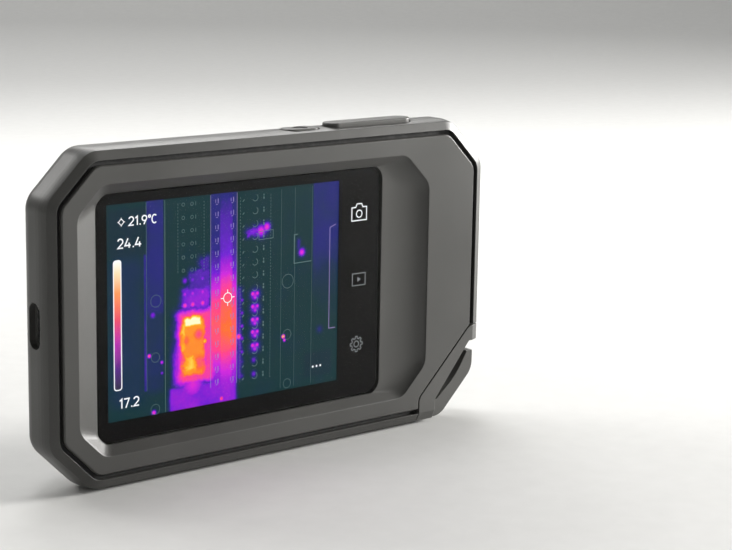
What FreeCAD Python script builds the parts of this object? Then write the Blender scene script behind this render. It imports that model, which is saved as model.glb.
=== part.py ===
import FreeCAD, Part
import math
import os
import types

import Sketcher

# Compact touch-screen thermal camera.
# +X is to the right as the user looks at the display, the display faces -Y, +Z is up.
# Everything is drawn about the middle of the body; each sub-part's Placement then lifts it
# by centre_height, so the lower edge rests at Z = 0.

doc = FreeCAD.newDocument("ThermalCamera")
sheet = doc.addObject("Spreadsheet::Sheet", "Dimensions")

DIMENSIONS = {
    # outside of the body
    "body_width": 138.0,
    "body_height": 83.0,
    "centre_height": 41.5,
    "corner_cut": 11.7,
    "corner_round": 6.0,
    "front_face": -12.0,
    "crease": -10.9,
    "crown": -7.0,
    "shoulder": -1.6,
    "back_face": 8.5,
    "back_inset": 12.0,
    "shoulder_round": 5.0,
    # lens turret on the back
    "turret_x": -16.9,
    "turret_face": 12.0,
    "turret_radius": 28.2,
    "turret_flare": 2.4,
    "dish_radius": 24.0,
    "dish_corner_x": 14.2,
    "dish_corner_z": 18.7,
    "dish_chord_radius": 112.0,
    "dish_edge": 11.75,
    "dish_gap": 0.28,
    "panel_half_width": 10.3,
    "panel_half_height": 14.0,
    "thermal_z": 6.0,
    "thermal_radius": 5.5,
    "camera_z": -6.7,
    "camera_radius": 4.4,
    # walls and seams
    "wall": 4.4,
    "back_wall": 2.2,
    "groove_outer_inset": 2.8,
    "groove_width": 1.2,
    "ledge": -10.0,
    "gasket_front": -10.7,
    "gap": 0.1,
    # display
    "glass_left": -54.2,
    "glass_right": 34.0,
    "glass_bottom": -30.9,
    "glass_top": 30.2,
    "glass_face": -9.4,
    "glass_thickness": 1.0,
    "glass_round": 3.5,
    "recess_left": -60.8,
    "recess_right": 48.7,
    "recess_bottom": -33.2,
    "recess_top": 33.0,
    "lcd_left": -52.2,
    "lcd_bottom": -27.55,
    "lcd_width": 74.0,
    "lcd_height": 56.6,
    "lcd_back": -5.6,
    # lanyard corner
    "seam_z": -16.0,
    "seam_x": 46.5,
    "seam_diagonal": 80.8,
    "seam_gap": 0.32,
    "bar_face": -9.0,
    "leg_end": -20.6,
    "leg_tip": 64.8,
    "leg_foot_x": 52.6,
    "leg_foot_z": -35.4,
    "slot_bow_x": 62.7,
    "slot_bow_z": -30.9,
    "notch_end": -24.4,
    "notch_floor": -5.5,
    # buttons on the top edge
    "button_row": -6.4,
    "button_width": 5.6,
    "save_left": 17.0,
    "save_right": 45.0,
    "power_left": 3.3,
    "power_right": 14.1,
    "button_rise": 1.0,
    "button_gap": 0.3,
    # charging socket in the left side
    "usb_row": -5.88,
    "usb_width": 8.94,
    "usb_height": 3.26,
    "usb_mouth": -67.2,
    "usb_length": 7.3,
    # lamp on the back
    "lamp_left": 8.8,
    "lamp_right": 20.0,
    "lamp_z": 29.3,
    "lamp_lens_x": 11.8,
    "lamp_lens_radius": 2.9,
    # inside
    "board_front": -4.25,
    "board_back": -3.25,
}

for row, (alias, value) in enumerate(DIMENSIONS.items(), start=1):
    sheet.set("A%d" % row, alias)
    sheet.set("B%d" % row, str(value))
    sheet.setAlias("B%d" % row, alias)
doc.recompute()


class Size:
    """A length that carries both its number and the sheet formula that drives it."""

    def __init__(self, value, text=None):
        self.value = float(value)
        self.text = text if text else "%.6g" % value

    @staticmethod
    def of(other):
        return other if isinstance(other, Size) else Size(other)

    def __add__(self, other):
        other = Size.of(other)
        return Size(self.value + other.value, "(%s + %s)" % (self.text, other.text))

    def __sub__(self, other):
        other = Size.of(other)
        return Size(self.value - other.value, "(%s - %s)" % (self.text, other.text))

    def __rsub__(self, other):
        return Size.of(other) - self

    def __mul__(self, factor):
        return Size(self.value * factor, "(%s * %.9g)" % (self.text, factor))

    def __truediv__(self, factor):
        return self * (1.0 / factor)

    def __neg__(self):
        return self * -1.0

    __radd__ = __add__
    __rmul__ = __mul__


dim = types.SimpleNamespace(
    **{alias: Size(value, "Dimensions." + alias) for alias, value in DIMENSIONS.items()}
)

# A 45 degree cut gets shorter by this much for each millimetre that the outline moves inwards.
CUT_SHRINK = 2.0 - math.sqrt(2.0)

nodes = {}


# ---------------------------------------------------------------- outlines in sketches

class Outline:
    """Gathers one sketch's geometry and constraints, then adds them together."""

    def __init__(self, sketch):
        self.sketch = sketch
        self.geometry = []
        self.constraints = []
        self.bindings = {}

    def add(self, shape, construction=False):
        self.geometry.append((shape, construction))
        return len(self.geometry) - 1

    def constrain(self, *arguments, size=None):
        if size is not None:
            arguments += (size.value,)
            self.bindings[len(self.constraints)] = size.text
        self.constraints.append(Sketcher.Constraint(*arguments))

    def pin(self, geometry, point, u, v):
        """Hold one point of the sketch at u, v from the origin."""
        for kind, axis, size in (("DistanceX", -2, Size.of(u)), ("DistanceY", -1, Size.of(v))):
            if abs(size.value) < 1e-9:
                self.constrain("PointOnObject", geometry, point, axis)
            elif size.value > 0:
                self.constrain(kind, -1, 1, geometry, point, size=size)
            else:
                self.constrain(kind, geometry, point, -1, 1, size=-size)

    def finish(self):
        for shape, construction in self.geometry:
            self.sketch.addGeometry(shape, construction)
        self.sketch.addConstraint(self.constraints)
        for index, text in self.bindings.items():
            self.sketch.setExpression("Constraints[%d]" % index, text)


def flat(u, v):
    return FreeCAD.Vector(u, v, 0)


def arc_between(centre, radius, first, last):
    """The shorter arc between two points, and whether it starts at the first of them.

    Sketch arcs always run anticlockwise.
    """
    upright = FreeCAD.Vector(0, 0, 1)
    angles = [math.atan2(point.y - centre.y, point.x - centre.x) for point in (first, last)]
    forward = (angles[1] - angles[0]) % (2 * math.pi) < math.pi
    start, end = angles if forward else reversed(angles)
    if end < start:
        end += 2 * math.pi
    return Part.ArcOfCircle(Part.Circle(centre, upright, radius), start, end), forward


def circle(u, v, radius):
    """Full circle about u, v."""
    u, v, radius = Size.of(u), Size.of(v), Size.of(radius)

    def draw(outline):
        index = outline.add(Part.Circle(flat(u.value, v.value), FreeCAD.Vector(0, 0, 1), radius.value))
        outline.pin(index, 3, u, v)
        outline.constrain("Radius", index, size=radius)

    return draw


def polygon(corners):
    """Closed outline through corners (u, v, radius); a radius of 0 leaves the corner sharp."""
    corners = [tuple(Size.of(item) for item in corner) for corner in corners]

    def draw(outline):
        count = len(corners)
        points = [flat(u.value, v.value) for u, v, _ in corners]
        arrive, leave, arcs = [], [], {}
        for i, (_, _, radius) in enumerate(corners):
            before = (points[i - 1] - points[i]).normalize()
            after = (points[(i + 1) % count] - points[i]).normalize()
            half = before.getAngle(after) / 2
            trim = radius.value / math.tan(half)
            arrive.append(points[i] + before * trim)
            leave.append(points[i] + after * trim)
            if radius.value > 0:
                middle = points[i] + (before + after).normalize() * (radius.value / math.sin(half))
                arcs[i] = arc_between(middle, radius.value, arrive[i], leave[i])
        lines = [
            outline.add(Part.LineSegment(leave[i], arrive[(i + 1) % count])) for i in range(count)
        ]
        for i, (u, v, radius) in enumerate(corners):
            if i not in arcs:
                outline.constrain("Coincident", lines[i - 1], 2, lines[i], 1)
                outline.pin(lines[i], 1, u, v)
                continue
            corner = outline.add(Part.Point(points[i]), True)
            outline.pin(corner, 1, u, v)
            outline.constrain("PointOnObject", corner, 1, lines[i - 1])
            outline.constrain("PointOnObject", corner, 1, lines[i])
            shape, forward = arcs[i]
            arc = outline.add(shape)
            first, last = (1, 2) if forward else (2, 1)
            outline.constrain("Tangent", lines[i - 1], 2, arc, first)
            outline.constrain("Tangent", lines[i], 1, arc, last)
            outline.constrain("Radius", arc, size=radius)

    return draw


def rectangle(left, right, low, high, radius=0):
    """Rectangle between the four sides, with rounded corners if radius is given."""
    return polygon([(right, high, radius), (right, low, radius), (left, low, radius), (left, high, radius)])


def bowed(centre_u, half_u, half_v, side_radius, chord_radius):
    """Four outward arcs between corners at half_u, half_v from the centre."""
    centre_u = Size.of(centre_u)

    def draw(outline):
        right, left = centre_u + half_u, centre_u - half_u
        corners = [(right, half_v), (right, -half_v), (left, -half_v), (left, half_v)]
        radii = [side_radius, chord_radius, side_radius, chord_radius]
        middle = flat(centre_u.value, 0)
        arcs = []
        for i, (u, v) in enumerate(corners):
            start = flat(u.value, v.value)
            end_u, end_v = corners[(i + 1) % 4]
            end = flat(end_u.value, end_v.value)
            halfway = (start + end) * 0.5
            outward = (halfway - middle).normalize()
            reach = (end - start).Length / 2
            centre = halfway - outward * math.sqrt(radii[i].value ** 2 - reach ** 2)
            arc, forward = arc_between(centre, radii[i].value, start, end)
            arcs.append((outline.add(arc), forward))
            outline.constrain("Radius", arcs[-1][0], size=radii[i])
        for i, (u, v) in enumerate(corners):
            index, forward = arcs[i]
            previous, previous_forward = arcs[i - 1]
            outline.constrain(
                "Coincident", previous, 2 if previous_forward else 1, index, 1 if forward else 2
            )
            outline.pin(index, 1 if forward else 2, u, v)

    return draw


def octagon(inset, radius):
    """The body's eight-sided outline, moved inwards by inset."""
    wide = dim.body_width / 2 - inset
    tall = dim.body_height / 2 - inset
    cut = dim.corner_cut - Size.of(inset) * CUT_SHRINK
    return polygon([
        (wide - cut, tall, radius), (wide, tall - cut, radius),
        (wide, cut - tall, radius), (wide - cut, -tall, radius),
        (cut - wide, -tall, radius), (-wide, cut - tall, radius),
        (-wide, tall - cut, radius), (cut - wide, tall, radius),
    ])


def corner_region(diagonal, seam_z, seam_x, radius):
    """The lower right corner beyond a level seam, a 45 degree seam and an upright seam."""
    outside = dim.body_width
    return polygon([
        (outside, seam_z, 0), (diagonal + seam_z, seam_z, radius),
        (seam_x, seam_x - diagonal, radius), (seam_x, -outside, 0), (outside, -outside, 0),
    ])


def all_but(draw_inner):
    """Everything within a large rectangle except the inner outline."""
    reach = dim.body_width
    return [rectangle(-reach, reach, -reach, reach), draw_inner]


# ---------------------------------------------------------------- sub-parts

class Piece:
    """One sub-part as a PartDesign body, drawn in planes across X, Y or Z."""

    PLANES = {"y": ("XZ_Plane", -1), "z": ("XY_Plane", 1), "x": ("YZ_Plane", 1)}

    def __init__(self, name):
        self.name = name
        self.body = doc.addObject("PartDesign::Body", name)
        self.body.Label = name
        self.body.setExpression("Placement.Base.z", dim.centre_height.text)
        nodes[name] = self.body

    def sketch(self, outlines, level, across):
        role, facing = Piece.PLANES[across]
        plane = [item for item in self.body.Origin.OriginFeatures if item.Role == role][0]
        sketch = self.body.newObject("Sketcher::SketchObject", self.name + "_sketch")
        sketch.AttachmentSupport = (plane, [""])
        sketch.MapMode = "FlatFace"
        sketch.setExpression("AttachmentOffset.Base.z", (Size.of(level) * facing).text)
        outline = Outline(sketch)
        for draw in outlines if isinstance(outlines, list) else [outlines]:
            draw(outline)
        outline.finish()
        return sketch

    def feature(self, kind, profile):
        feature = self.body.newObject("PartDesign::" + kind, self.name + "_" + kind.lower())
        feature.Profile = profile
        return feature

    def add(self, outlines, low, high, across="y"):
        """Solid between two levels."""
        low, high = Size.of(low), Size.of(high)
        start = high if Piece.PLANES[across][1] < 0 else low
        pad = self.feature("Pad", self.sketch(outlines, start, across))
        pad.setExpression("Length", (high - low).text)
        doc.recompute()
        return self

    def cut(self, outlines, low, high, across="y"):
        """Opening between two levels."""
        low, high = Size.of(low), Size.of(high)
        start = low if Piece.PLANES[across][1] < 0 else high
        before = self.body.Shape.Volume
        pocket = self.feature("Pocket", self.sketch(outlines, start, across))
        pocket.setExpression("Length", (high - low).text)
        doc.recompute()
        if not self.body.Shape.Volume < before - 1e-3:
            raise RuntimeError("an opening of %s removes nothing" % self.name)
        return self

    def loft(self, sections, kind="AdditiveLoft", ruled=True):
        """Body or hollow through outlines at several levels, drawn from the back to the front."""
        ordered = sorted(sections, key=lambda section: -Size.of(section[1]).value)
        sketches = [self.sketch(outline, level, "y") for outline, level in ordered]
        loft = self.feature(kind, sketches[0])
        loft.Sections = sketches[1:]
        loft.Ruled = ruled
        doc.recompute()
        return self

    def bore(self, radius, start, direction, length):
        """Round hole from a point along a direction."""
        hole = self.body.newObject("PartDesign::SubtractiveCylinder", self.name + "_bore")
        hole.Radius = radius
        hole.Height = length
        hole.Placement = FreeCAD.Placement(
            start, FreeCAD.Rotation(FreeCAD.Vector(0, 0, 1), direction)
        )
        doc.recompute()
        return self

    def dress(self, kind, size, chosen):
        """Fillet or chamfer on the edges that the test picks."""
        base = self.body.Tip
        names = ["Edge%d" % (i + 1) for i, edge in enumerate(base.Shape.Edges) if chosen(edge)]
        if not names:
            raise RuntimeError("no edge of %s fits a %s" % (self.name, kind))
        dress = self.body.newObject("PartDesign::" + kind, self.name + "_" + kind.lower())
        dress.Base = (base, names)
        dress.setExpression("Radius" if kind == "Fillet" else "Size", Size.of(size).text)
        doc.recompute()
        if dress.Shape.isNull() or not dress.Shape.isValid():
            raise RuntimeError("%s of %s failed" % (kind, self.name))
        return self


def at_level(level, inside=None):
    """Test for edges that lie wholly at one Y level, and in the region that inside accepts."""
    level = Size.of(level).value

    def chosen(edge):
        points = [edge.CenterOfMass] + [vertex.Point for vertex in edge.Vertexes]
        level_ok = all(abs(point.y - level) < 1e-3 for point in points)
        return level_ok and (inside is None or inside(edge.CenterOfMass))

    return chosen


# The crease round the front lies this far inside the widest outline.
CREASE_INSET = 0.6


def body_sections(shift=0.0):
    """The outer form of the closed body, from the front face to the back face."""
    shift = Size.of(shift)
    front_inset = dim.groove_outer_inset + 0.15
    crown_depth = dim.crown - dim.crease
    rounded_run = [
        (
            octagon(CREASE_INSET * (1.0 - at) ** 2, dim.corner_round - 0.4 * (1.0 - at)),
            dim.crease + shift + crown_depth * at,
        )
        for at in (0.0, 0.2, 0.42, 0.68)
    ]
    return [
        (octagon(front_inset, dim.corner_round - 1.8), dim.front_face + shift),
        *rounded_run,
        (octagon(0, dim.corner_round), dim.crown + shift),
        (octagon(0, dim.corner_round), dim.shoulder + shift),
        (octagon(dim.back_inset, 1.5), dim.back_face + shift),
    ]


def rounded_body(name):
    """A piece that starts as the whole outer form with its rounded shoulder."""
    piece = Piece(name).loft(body_sections())
    return piece.dress("Fillet", dim.shoulder_round, at_level(dim.shoulder))


def seam_corner(clearance):
    """Region of the lanyard corner, shrunk from the seam by a clearance."""
    return corner_region(
        dim.seam_diagonal + clearance * math.sqrt(2.0), dim.seam_z - clearance, dim.seam_x + clearance, 3.0
    )


def clipped_frame(wide, tall, cut, diagonal, radius):
    """Rectangle about the centre with cut corners; the lower right one is cut back to a diagonal."""
    return polygon([
        (wide - cut, tall, radius), (wide, tall - cut, radius),
        (wide, wide - diagonal, radius), (diagonal - tall, -tall, radius),
        (cut - wide, -tall, radius), (-wide, cut - tall, radius),
        (-wide, tall - cut, radius), (cut - wide, tall, radius),
    ])


def cavity(inset, radius):
    """The inside outline, which stays clear of the lanyard corner."""
    inset = Size.of(inset)
    wide = dim.body_width / 2 - inset
    tall = dim.body_height / 2 - inset
    cut = dim.corner_cut - inset * CUT_SHRINK
    return clipped_frame(wide, tall, cut, dim.seam_diagonal - 3.2, radius)


def dish_outline(shrink):
    """Outline of the turret's opening, made smaller by shrink."""
    return bowed(
        dim.turret_x, dim.dish_corner_x - shrink * 0.62, dim.dish_corner_z - shrink,
        dim.dish_radius - shrink, dim.dish_chord_radius,
    )


def pill(low_u, high_u, centre_v, width):
    """Slot outline with full round ends; the ends stop a hair short of a half circle."""
    width = Size.of(width)
    half = width / 2
    centre_v = Size.of(centre_v)
    return rectangle(low_u, high_u, centre_v - half, centre_v + half, half * 0.98)


# Places of the posts that carry the main board, and of the screws that hold the display frame.
BOARD_POSTS = [(-58.0, 28.5), (-58.0, -29.0), (57.0, 27.0), (38.0, -30.0)]
FRAME_POSTS = [(-56.2, 19.0), (-56.2, -19.0), (27.0, 22.0), (27.0, -22.0)]
# The lanyard screws run outwards at 45 degrees; each place is its distance along the corner's seam.
LANYARD_SCREWS = [14.0, 26.0]
LANYARD_SCREW_Y = 0.6
POST_RADIUS = 2.2
PILOT_RADIUS = 0.7


OUTWARDS = FreeCAD.Vector(1, 0, -1).normalize()
ALONG_SEAM = FreeCAD.Vector(1, 0, 1).normalize()


def lanyard_point(reach, along):
    """Point at a distance outwards from the centre and at a distance along the corner."""
    return OUTWARDS * reach + ALONG_SEAM * along + FreeCAD.Vector(0, LANYARD_SCREW_Y, 0)


def build_rear_housing():
    """Tub with side walls, bevelled back, lens turret and board posts."""
    piece = rounded_body("rear_housing")
    piece.add(circle(dim.turret_x, 0, dim.turret_radius), dim.back_face - 1.0, dim.turret_face)

    def turret_foot(edge):
        round_edge = hasattr(edge.Curve, "Radius") and abs(edge.Curve.Radius - dim.turret_radius.value) < 1e-3
        return round_edge and abs(edge.CenterOfMass.y - dim.back_face.value) < 1e-3

    piece.dress("Fillet", dim.turret_flare, turret_foot)

    def turret_rim(edge):
        round_edge = hasattr(edge.Curve, "Radius") and abs(edge.Curve.Radius - dim.turret_radius.value) < 1e-3
        return round_edge and abs(edge.CenterOfMass.y - dim.turret_face.value) < 1e-3

    piece.dress("Fillet", 0.5, turret_rim)
    back_inside = dim.back_face - dim.back_wall
    piece.loft([
        (cavity(dim.wall, 3.0), dim.front_face - 0.5),
        (cavity(dim.wall, 3.0), dim.shoulder + 0.4),
        (cavity(dim.wall + 8.87, 1.5), back_inside),
    ], "SubtractiveLoft")
    piece.cut(octagon(dim.groove_outer_inset, 4.4), dim.front_face - 1.0, dim.ledge)
    piece.cut(seam_corner(0.0), dim.front_face - 1.0, dim.turret_face)
    piece.cut(dish_outline(-dim.dish_gap), dim.shoulder, dim.turret_face + 1.0)
    rim_bevel = 0.35
    piece.loft([
        (dish_outline(-dim.dish_gap), dim.turret_face - rim_bevel),
        (dish_outline(-dim.dish_gap - rim_bevel * 1.2), dim.turret_face + rim_bevel * 0.2),
    ], "SubtractiveLoft")
    piece.cut(
        pill(dim.lamp_left - dim.gap, dim.lamp_right + dim.gap, dim.lamp_z, 6.0 + 0.2),
        dim.shoulder, dim.turret_face,
    )
    # charging socket: outer recess, then the hole that the socket's nose fills
    side = -dim.body_width / 2
    socket_hole = rectangle(
        dim.usb_row - dim.usb_height / 2 - 0.12, dim.usb_row + dim.usb_height / 2 + 0.12,
        -dim.usb_width / 2 - 0.12, dim.usb_width / 2 + 0.12, 1.6,
    )
    recess = rectangle(dim.usb_row - 2.35, dim.usb_row + 2.35, -5.6, 5.6, 2.3)
    piece.cut(recess, side - 1.0, side + 1.7, across="x")
    piece.cut(socket_hole, side, side + 6.0, across="x")
    # button openings in the top wall
    top = dim.body_height / 2
    for low, high in ((dim.save_left, dim.save_right), (dim.power_left, dim.power_right)):
        opening = pill(
            low - dim.button_gap, high + dim.button_gap, dim.button_row,
            dim.button_width + dim.button_gap * 2,
        )
        piece.cut(opening, top - dim.wall - 1.0, top + 1.0, across="z")
    # board posts with pilot holes
    posts = [circle(x, z, POST_RADIUS) for x, z in BOARD_POSTS]
    pilots = [circle(x, z, PILOT_RADIUS) for x, z in BOARD_POSTS]
    for post, pilot in zip(posts, pilots):
        piece.add(post, dim.board_back, 3.2)
    for pilot in pilots:
        piece.cut(pilot, dim.board_back - 1.0, dim.board_back + 4.0)
    for along in LANYARD_SCREWS:
        piece.bore(0.85, lanyard_point(53.0, along), OUTWARDS, 5.0)


def recess_section(depth):
    """Outline of the bezel's recess; depth runs from 0 at the glass to 1 at the front face.

    Three sides slope evenly. The right side is scooped: it runs out level from the glass and
    curves up to the front face as a quarter of an ellipse.
    """
    scoop = math.sqrt(1.0 - (1.0 - depth) ** 2)
    left = dim.glass_left + (dim.recess_left - dim.glass_left) * depth
    right = dim.glass_right + (dim.recess_right - dim.glass_right) * scoop
    low = dim.glass_bottom + (dim.recess_bottom - dim.glass_bottom) * depth
    high = dim.glass_top + (dim.recess_top - dim.glass_top) * depth
    left_cut = 2.4 + 4.6 * depth
    right_cut = 2.4 + 5.8 * scoop
    left_radius = 3.0 + 2.0 * depth
    right_radius = 3.0 + 2.0 * scoop
    return polygon([
        (right - right_cut, high, right_radius), (right, high - right_cut, right_radius),
        (right, low + right_cut, right_radius), (right - right_cut, low, right_radius),
        (left + left_cut, low, left_radius), (left, low + left_cut, left_radius),
        (left, high - left_cut, left_radius), (left + left_cut, high, left_radius),
    ])


def build_front_bezel():
    """Front frame: outer plate, deeper middle, scooped recess, glass seat and window."""
    piece = Piece("front_bezel")
    edge_inset = dim.groove_outer_inset + dim.groove_width
    piece.add(octagon(edge_inset, 4.0), dim.front_face, dim.gasket_front)
    piece.dress("Chamfer", 0.3, at_level(dim.front_face))
    inner_block = clipped_frame(Size(64.2), Size(34.6), Size(7.2), dim.seam_diagonal - 4.2, 2.0)
    piece.add(inner_block, dim.gasket_front, dim.glass_face + 1.8)
    piece.cut(seam_corner(-0.1), dim.front_face - 1.0, dim.front_face + 8.0)
    depths = (0.0, 0.04, 0.14, 0.34, 0.64, 1.0)
    depth = dim.front_face - dim.glass_face
    piece.loft(
        [(recess_section(at), dim.glass_face + depth * at) for at in depths], "SubtractiveLoft", ruled=False
    )
    around = 0.3
    seat = rectangle(
        dim.glass_left - around, dim.glass_right + around, dim.glass_bottom - around, dim.glass_top + around,
        dim.glass_round + around,
    )
    seat_floor = dim.glass_face + dim.glass_thickness + 0.2
    piece.cut(seat, dim.glass_face - 0.05, seat_floor)
    window = rectangle(
        dim.lcd_left - 0.4, dim.lcd_left + dim.lcd_width + 0.4,
        dim.lcd_bottom - 0.4, dim.lcd_bottom + dim.lcd_height + 0.4, 1.0,
    )
    piece.cut(window, seat_floor - 0.1, dim.glass_face + 3.0)
    for x, z in FRAME_POSTS:
        piece.add(circle(x, z, POST_RADIUS - 0.2), dim.glass_face + 1.7, dim.lcd_back)
        piece.cut(circle(x, z, PILOT_RADIUS - 0.1), dim.glass_face + 1.4, dim.lcd_back + 0.1)


def build_lanyard_bracket():
    """Corner block whose strap bar is set back from the front, with a crescent slot behind the bar."""
    piece = rounded_body("lanyard_bracket")
    before_front = dim.front_face - 1.0
    outside = dim.body_width
    piece.cut(all_but(seam_corner(dim.seam_gap)), before_front, dim.turret_face)
    piece.cut(polygon([
        (outside, dim.leg_end, 0), (dim.leg_tip, dim.leg_end, 1.5),
        (dim.leg_foot_x, dim.leg_foot_z, 1.5), (dim.leg_foot_x - 1.2, -outside, 0), (outside, -outside, 0),
    ]), before_front, dim.bar_face)
    slot = polygon([
        (dim.leg_tip + 2.1, dim.notch_end, 0.8), (dim.leg_tip - 0.2, dim.leg_end - 0.6, 0.8),
        (dim.leg_foot_x + 0.8, dim.leg_foot_z + 0.5, 0.9), (dim.leg_foot_x + 2.8, dim.leg_foot_z - 1.5, 0.9),
        (dim.slot_bow_x, dim.slot_bow_z, 20.0),
    ])
    piece.cut(slot, before_front, dim.turret_face)
    notch = rectangle(dim.leg_tip + 0.1, outside, dim.notch_end, dim.leg_end)
    piece.cut(notch, before_front, dim.notch_floor)
    for along in LANYARD_SCREWS:
        piece.bore(0.78, lanyard_point(56.0, along), OUTWARDS, 3.8)


def build_case_gasket():
    """Black seal that shows as the floor of the groove round the bezel."""
    piece = Piece("case_gasket")
    piece.add(
        [octagon(dim.groove_outer_inset + dim.gap, 4.3), octagon(dim.wall + 0.1, 3.2)],
        dim.gasket_front, dim.ledge,
    )
    piece.cut(seam_corner(-0.1), dim.front_face, dim.back_face)


def build_display():
    """Cover glass, adhesive frame, display panel and its clamping frame."""
    glass = Piece("display_glass")
    glass.add(
        rectangle(dim.glass_left, dim.glass_right, dim.glass_bottom, dim.glass_top, dim.glass_round),
        dim.glass_face, dim.glass_face + dim.glass_thickness,
    )
    glass.dress("Chamfer", 0.15, at_level(dim.glass_face))
    lcd_right = dim.lcd_left + dim.lcd_width
    lcd_top = dim.lcd_bottom + dim.lcd_height
    glass_back = dim.glass_face + dim.glass_thickness
    tape = Piece("display_tape")
    tape.add([
        rectangle(
            dim.glass_left + 0.3, dim.glass_right - 0.5, dim.glass_bottom + 0.3, dim.glass_top - 0.1, 3.0,
        ),
        rectangle(dim.lcd_left - 0.4, lcd_right + 0.4, dim.lcd_bottom - 0.4, lcd_top + 0.4, 1.0),
    ], glass_back, glass_back + 0.2)
    panel = Piece("lcd_module")
    panel.add(rectangle(dim.lcd_left, lcd_right, dim.lcd_bottom, lcd_top, 0.8), glass_back, dim.lcd_back)
    frame = Piece("display_frame")
    frame.add(polygon([
        (22.0, 31.0, 1.0), (30.5, 25.0, 1.0), (30.5, -25.0, 1.0), (22.0, -31.0, 1.0),
        (-51.5, -31.0, 1.0), (-59.4, -23.0, 1.0), (-59.4, 23.0, 1.0), (-51.5, 31.0, 1.0),
    ]), dim.lcd_back, dim.lcd_back + 0.6)
    for x, z in FRAME_POSTS:
        frame.cut(circle(x, z, 0.9), dim.lcd_back - 0.1, dim.lcd_back + 1.0)
    flex_slot = rectangle(lcd_right + 1.6, lcd_right + 3.4, -8.6, 8.6, 0.5)
    frame.cut(flex_slot, dim.lcd_back - 0.1, dim.lcd_back + 1.0)
    for low, high in ((-46.0, -28.0), (-24.0, -6.0), (-2.0, 16.0)):
        frame.cut(rectangle(low, high, -22.0, 22.0, 2.0), dim.lcd_back - 0.1, dim.lcd_back + 1.0)


def button(name, low, high, dished):
    """Bar that stands in the top wall, with a flange under it that stops it falling out."""
    piece = Piece(name)
    top = dim.body_height / 2
    rise = dim.button_rise if not dished else Size(0.25)
    inside = top - dim.wall
    piece.add(pill(low, high, dim.button_row, dim.button_width), inside - 0.2, top + rise, across="z")

    def upper_edge(edge):
        return all(abs(vertex.Point.z - (top + rise).value) < 1e-3 for vertex in edge.Vertexes) and (
            abs(edge.CenterOfMass.z - (top + rise).value) < 1e-3
        )

    if dished:
        piece.dress("Fillet", 0.3, upper_edge)
        middle = (low + high) / 2
        piece.cut(circle(middle, dim.button_row, 2.2), top, top + 1.0, across="z")
    else:
        piece.dress("Fillet", 0.45, upper_edge)
    flange = rectangle(low - 0.9, high + 0.9, dim.button_row - 0.9, dim.button_row + 3.4, 0.6)
    piece.add(flange, inside - 1.2, inside - 0.1, across="z")
    centre = (low + high) / 2
    piece.add(circle(centre, dim.button_row + 1.0, 1.2), inside - 1.6, inside - 1.1, across="z")


def build_buttons():
    """Buttons, their plungers and switches, and the small board under them."""
    button("save_button", dim.save_left, dim.save_right, dished=False)
    button("power_button", dim.power_left, dim.power_right, dished=True)
    inside = dim.body_height / 2 - dim.wall
    row = dim.button_row + 1.0
    for name, low, high in (
        ("save", dim.save_left, dim.save_right), ("power", dim.power_left, dim.power_right),
    ):
        centre = (low + high) / 2
        plunger = Piece(name + "_plunger")
        plunger.add(circle(centre, row, 0.9), inside - 2.6, inside - 1.6, across="z")
        switch = Piece(name + "_switch")
        case = rectangle(centre - 2.2, centre + 2.2, row - 1.6, row + 1.6, 0.3)
        switch.add(case, inside - 4.6, inside - 2.3, across="z")
        switch.cut(circle(centre, row, 1.2), inside - 3.5, inside - 2.0, across="z")
    board = Piece("button_board")
    board.add(rectangle(3.0, 40.0, row - 1.8, row + 2.2, 0.5), inside - 5.4, inside - 4.6, across="z")


def bowl_section(at, floor):
    """Outline and level of the dished insert; at runs from 0 at its rim to 1 at its floor.

    The wall is steep at the rim and flattens towards the aperture plate.
    """
    def between(rim, inner):
        return rim + (inner - rim) * at

    outline = bowed(
        dim.turret_x, between(dim.dish_corner_x - 0.4, Size(7.3)), between(dim.dish_corner_z - 0.6, Size(13.6)),
        between(dim.dish_radius - 0.6, Size(26.0)), dim.dish_chord_radius,
    )
    fall = 1.0 - max(0.0, 1.0 - at) ** 1.7 if at > 0 else at
    return outline, dim.dish_edge - (dim.dish_edge - floor) * fall


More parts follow.
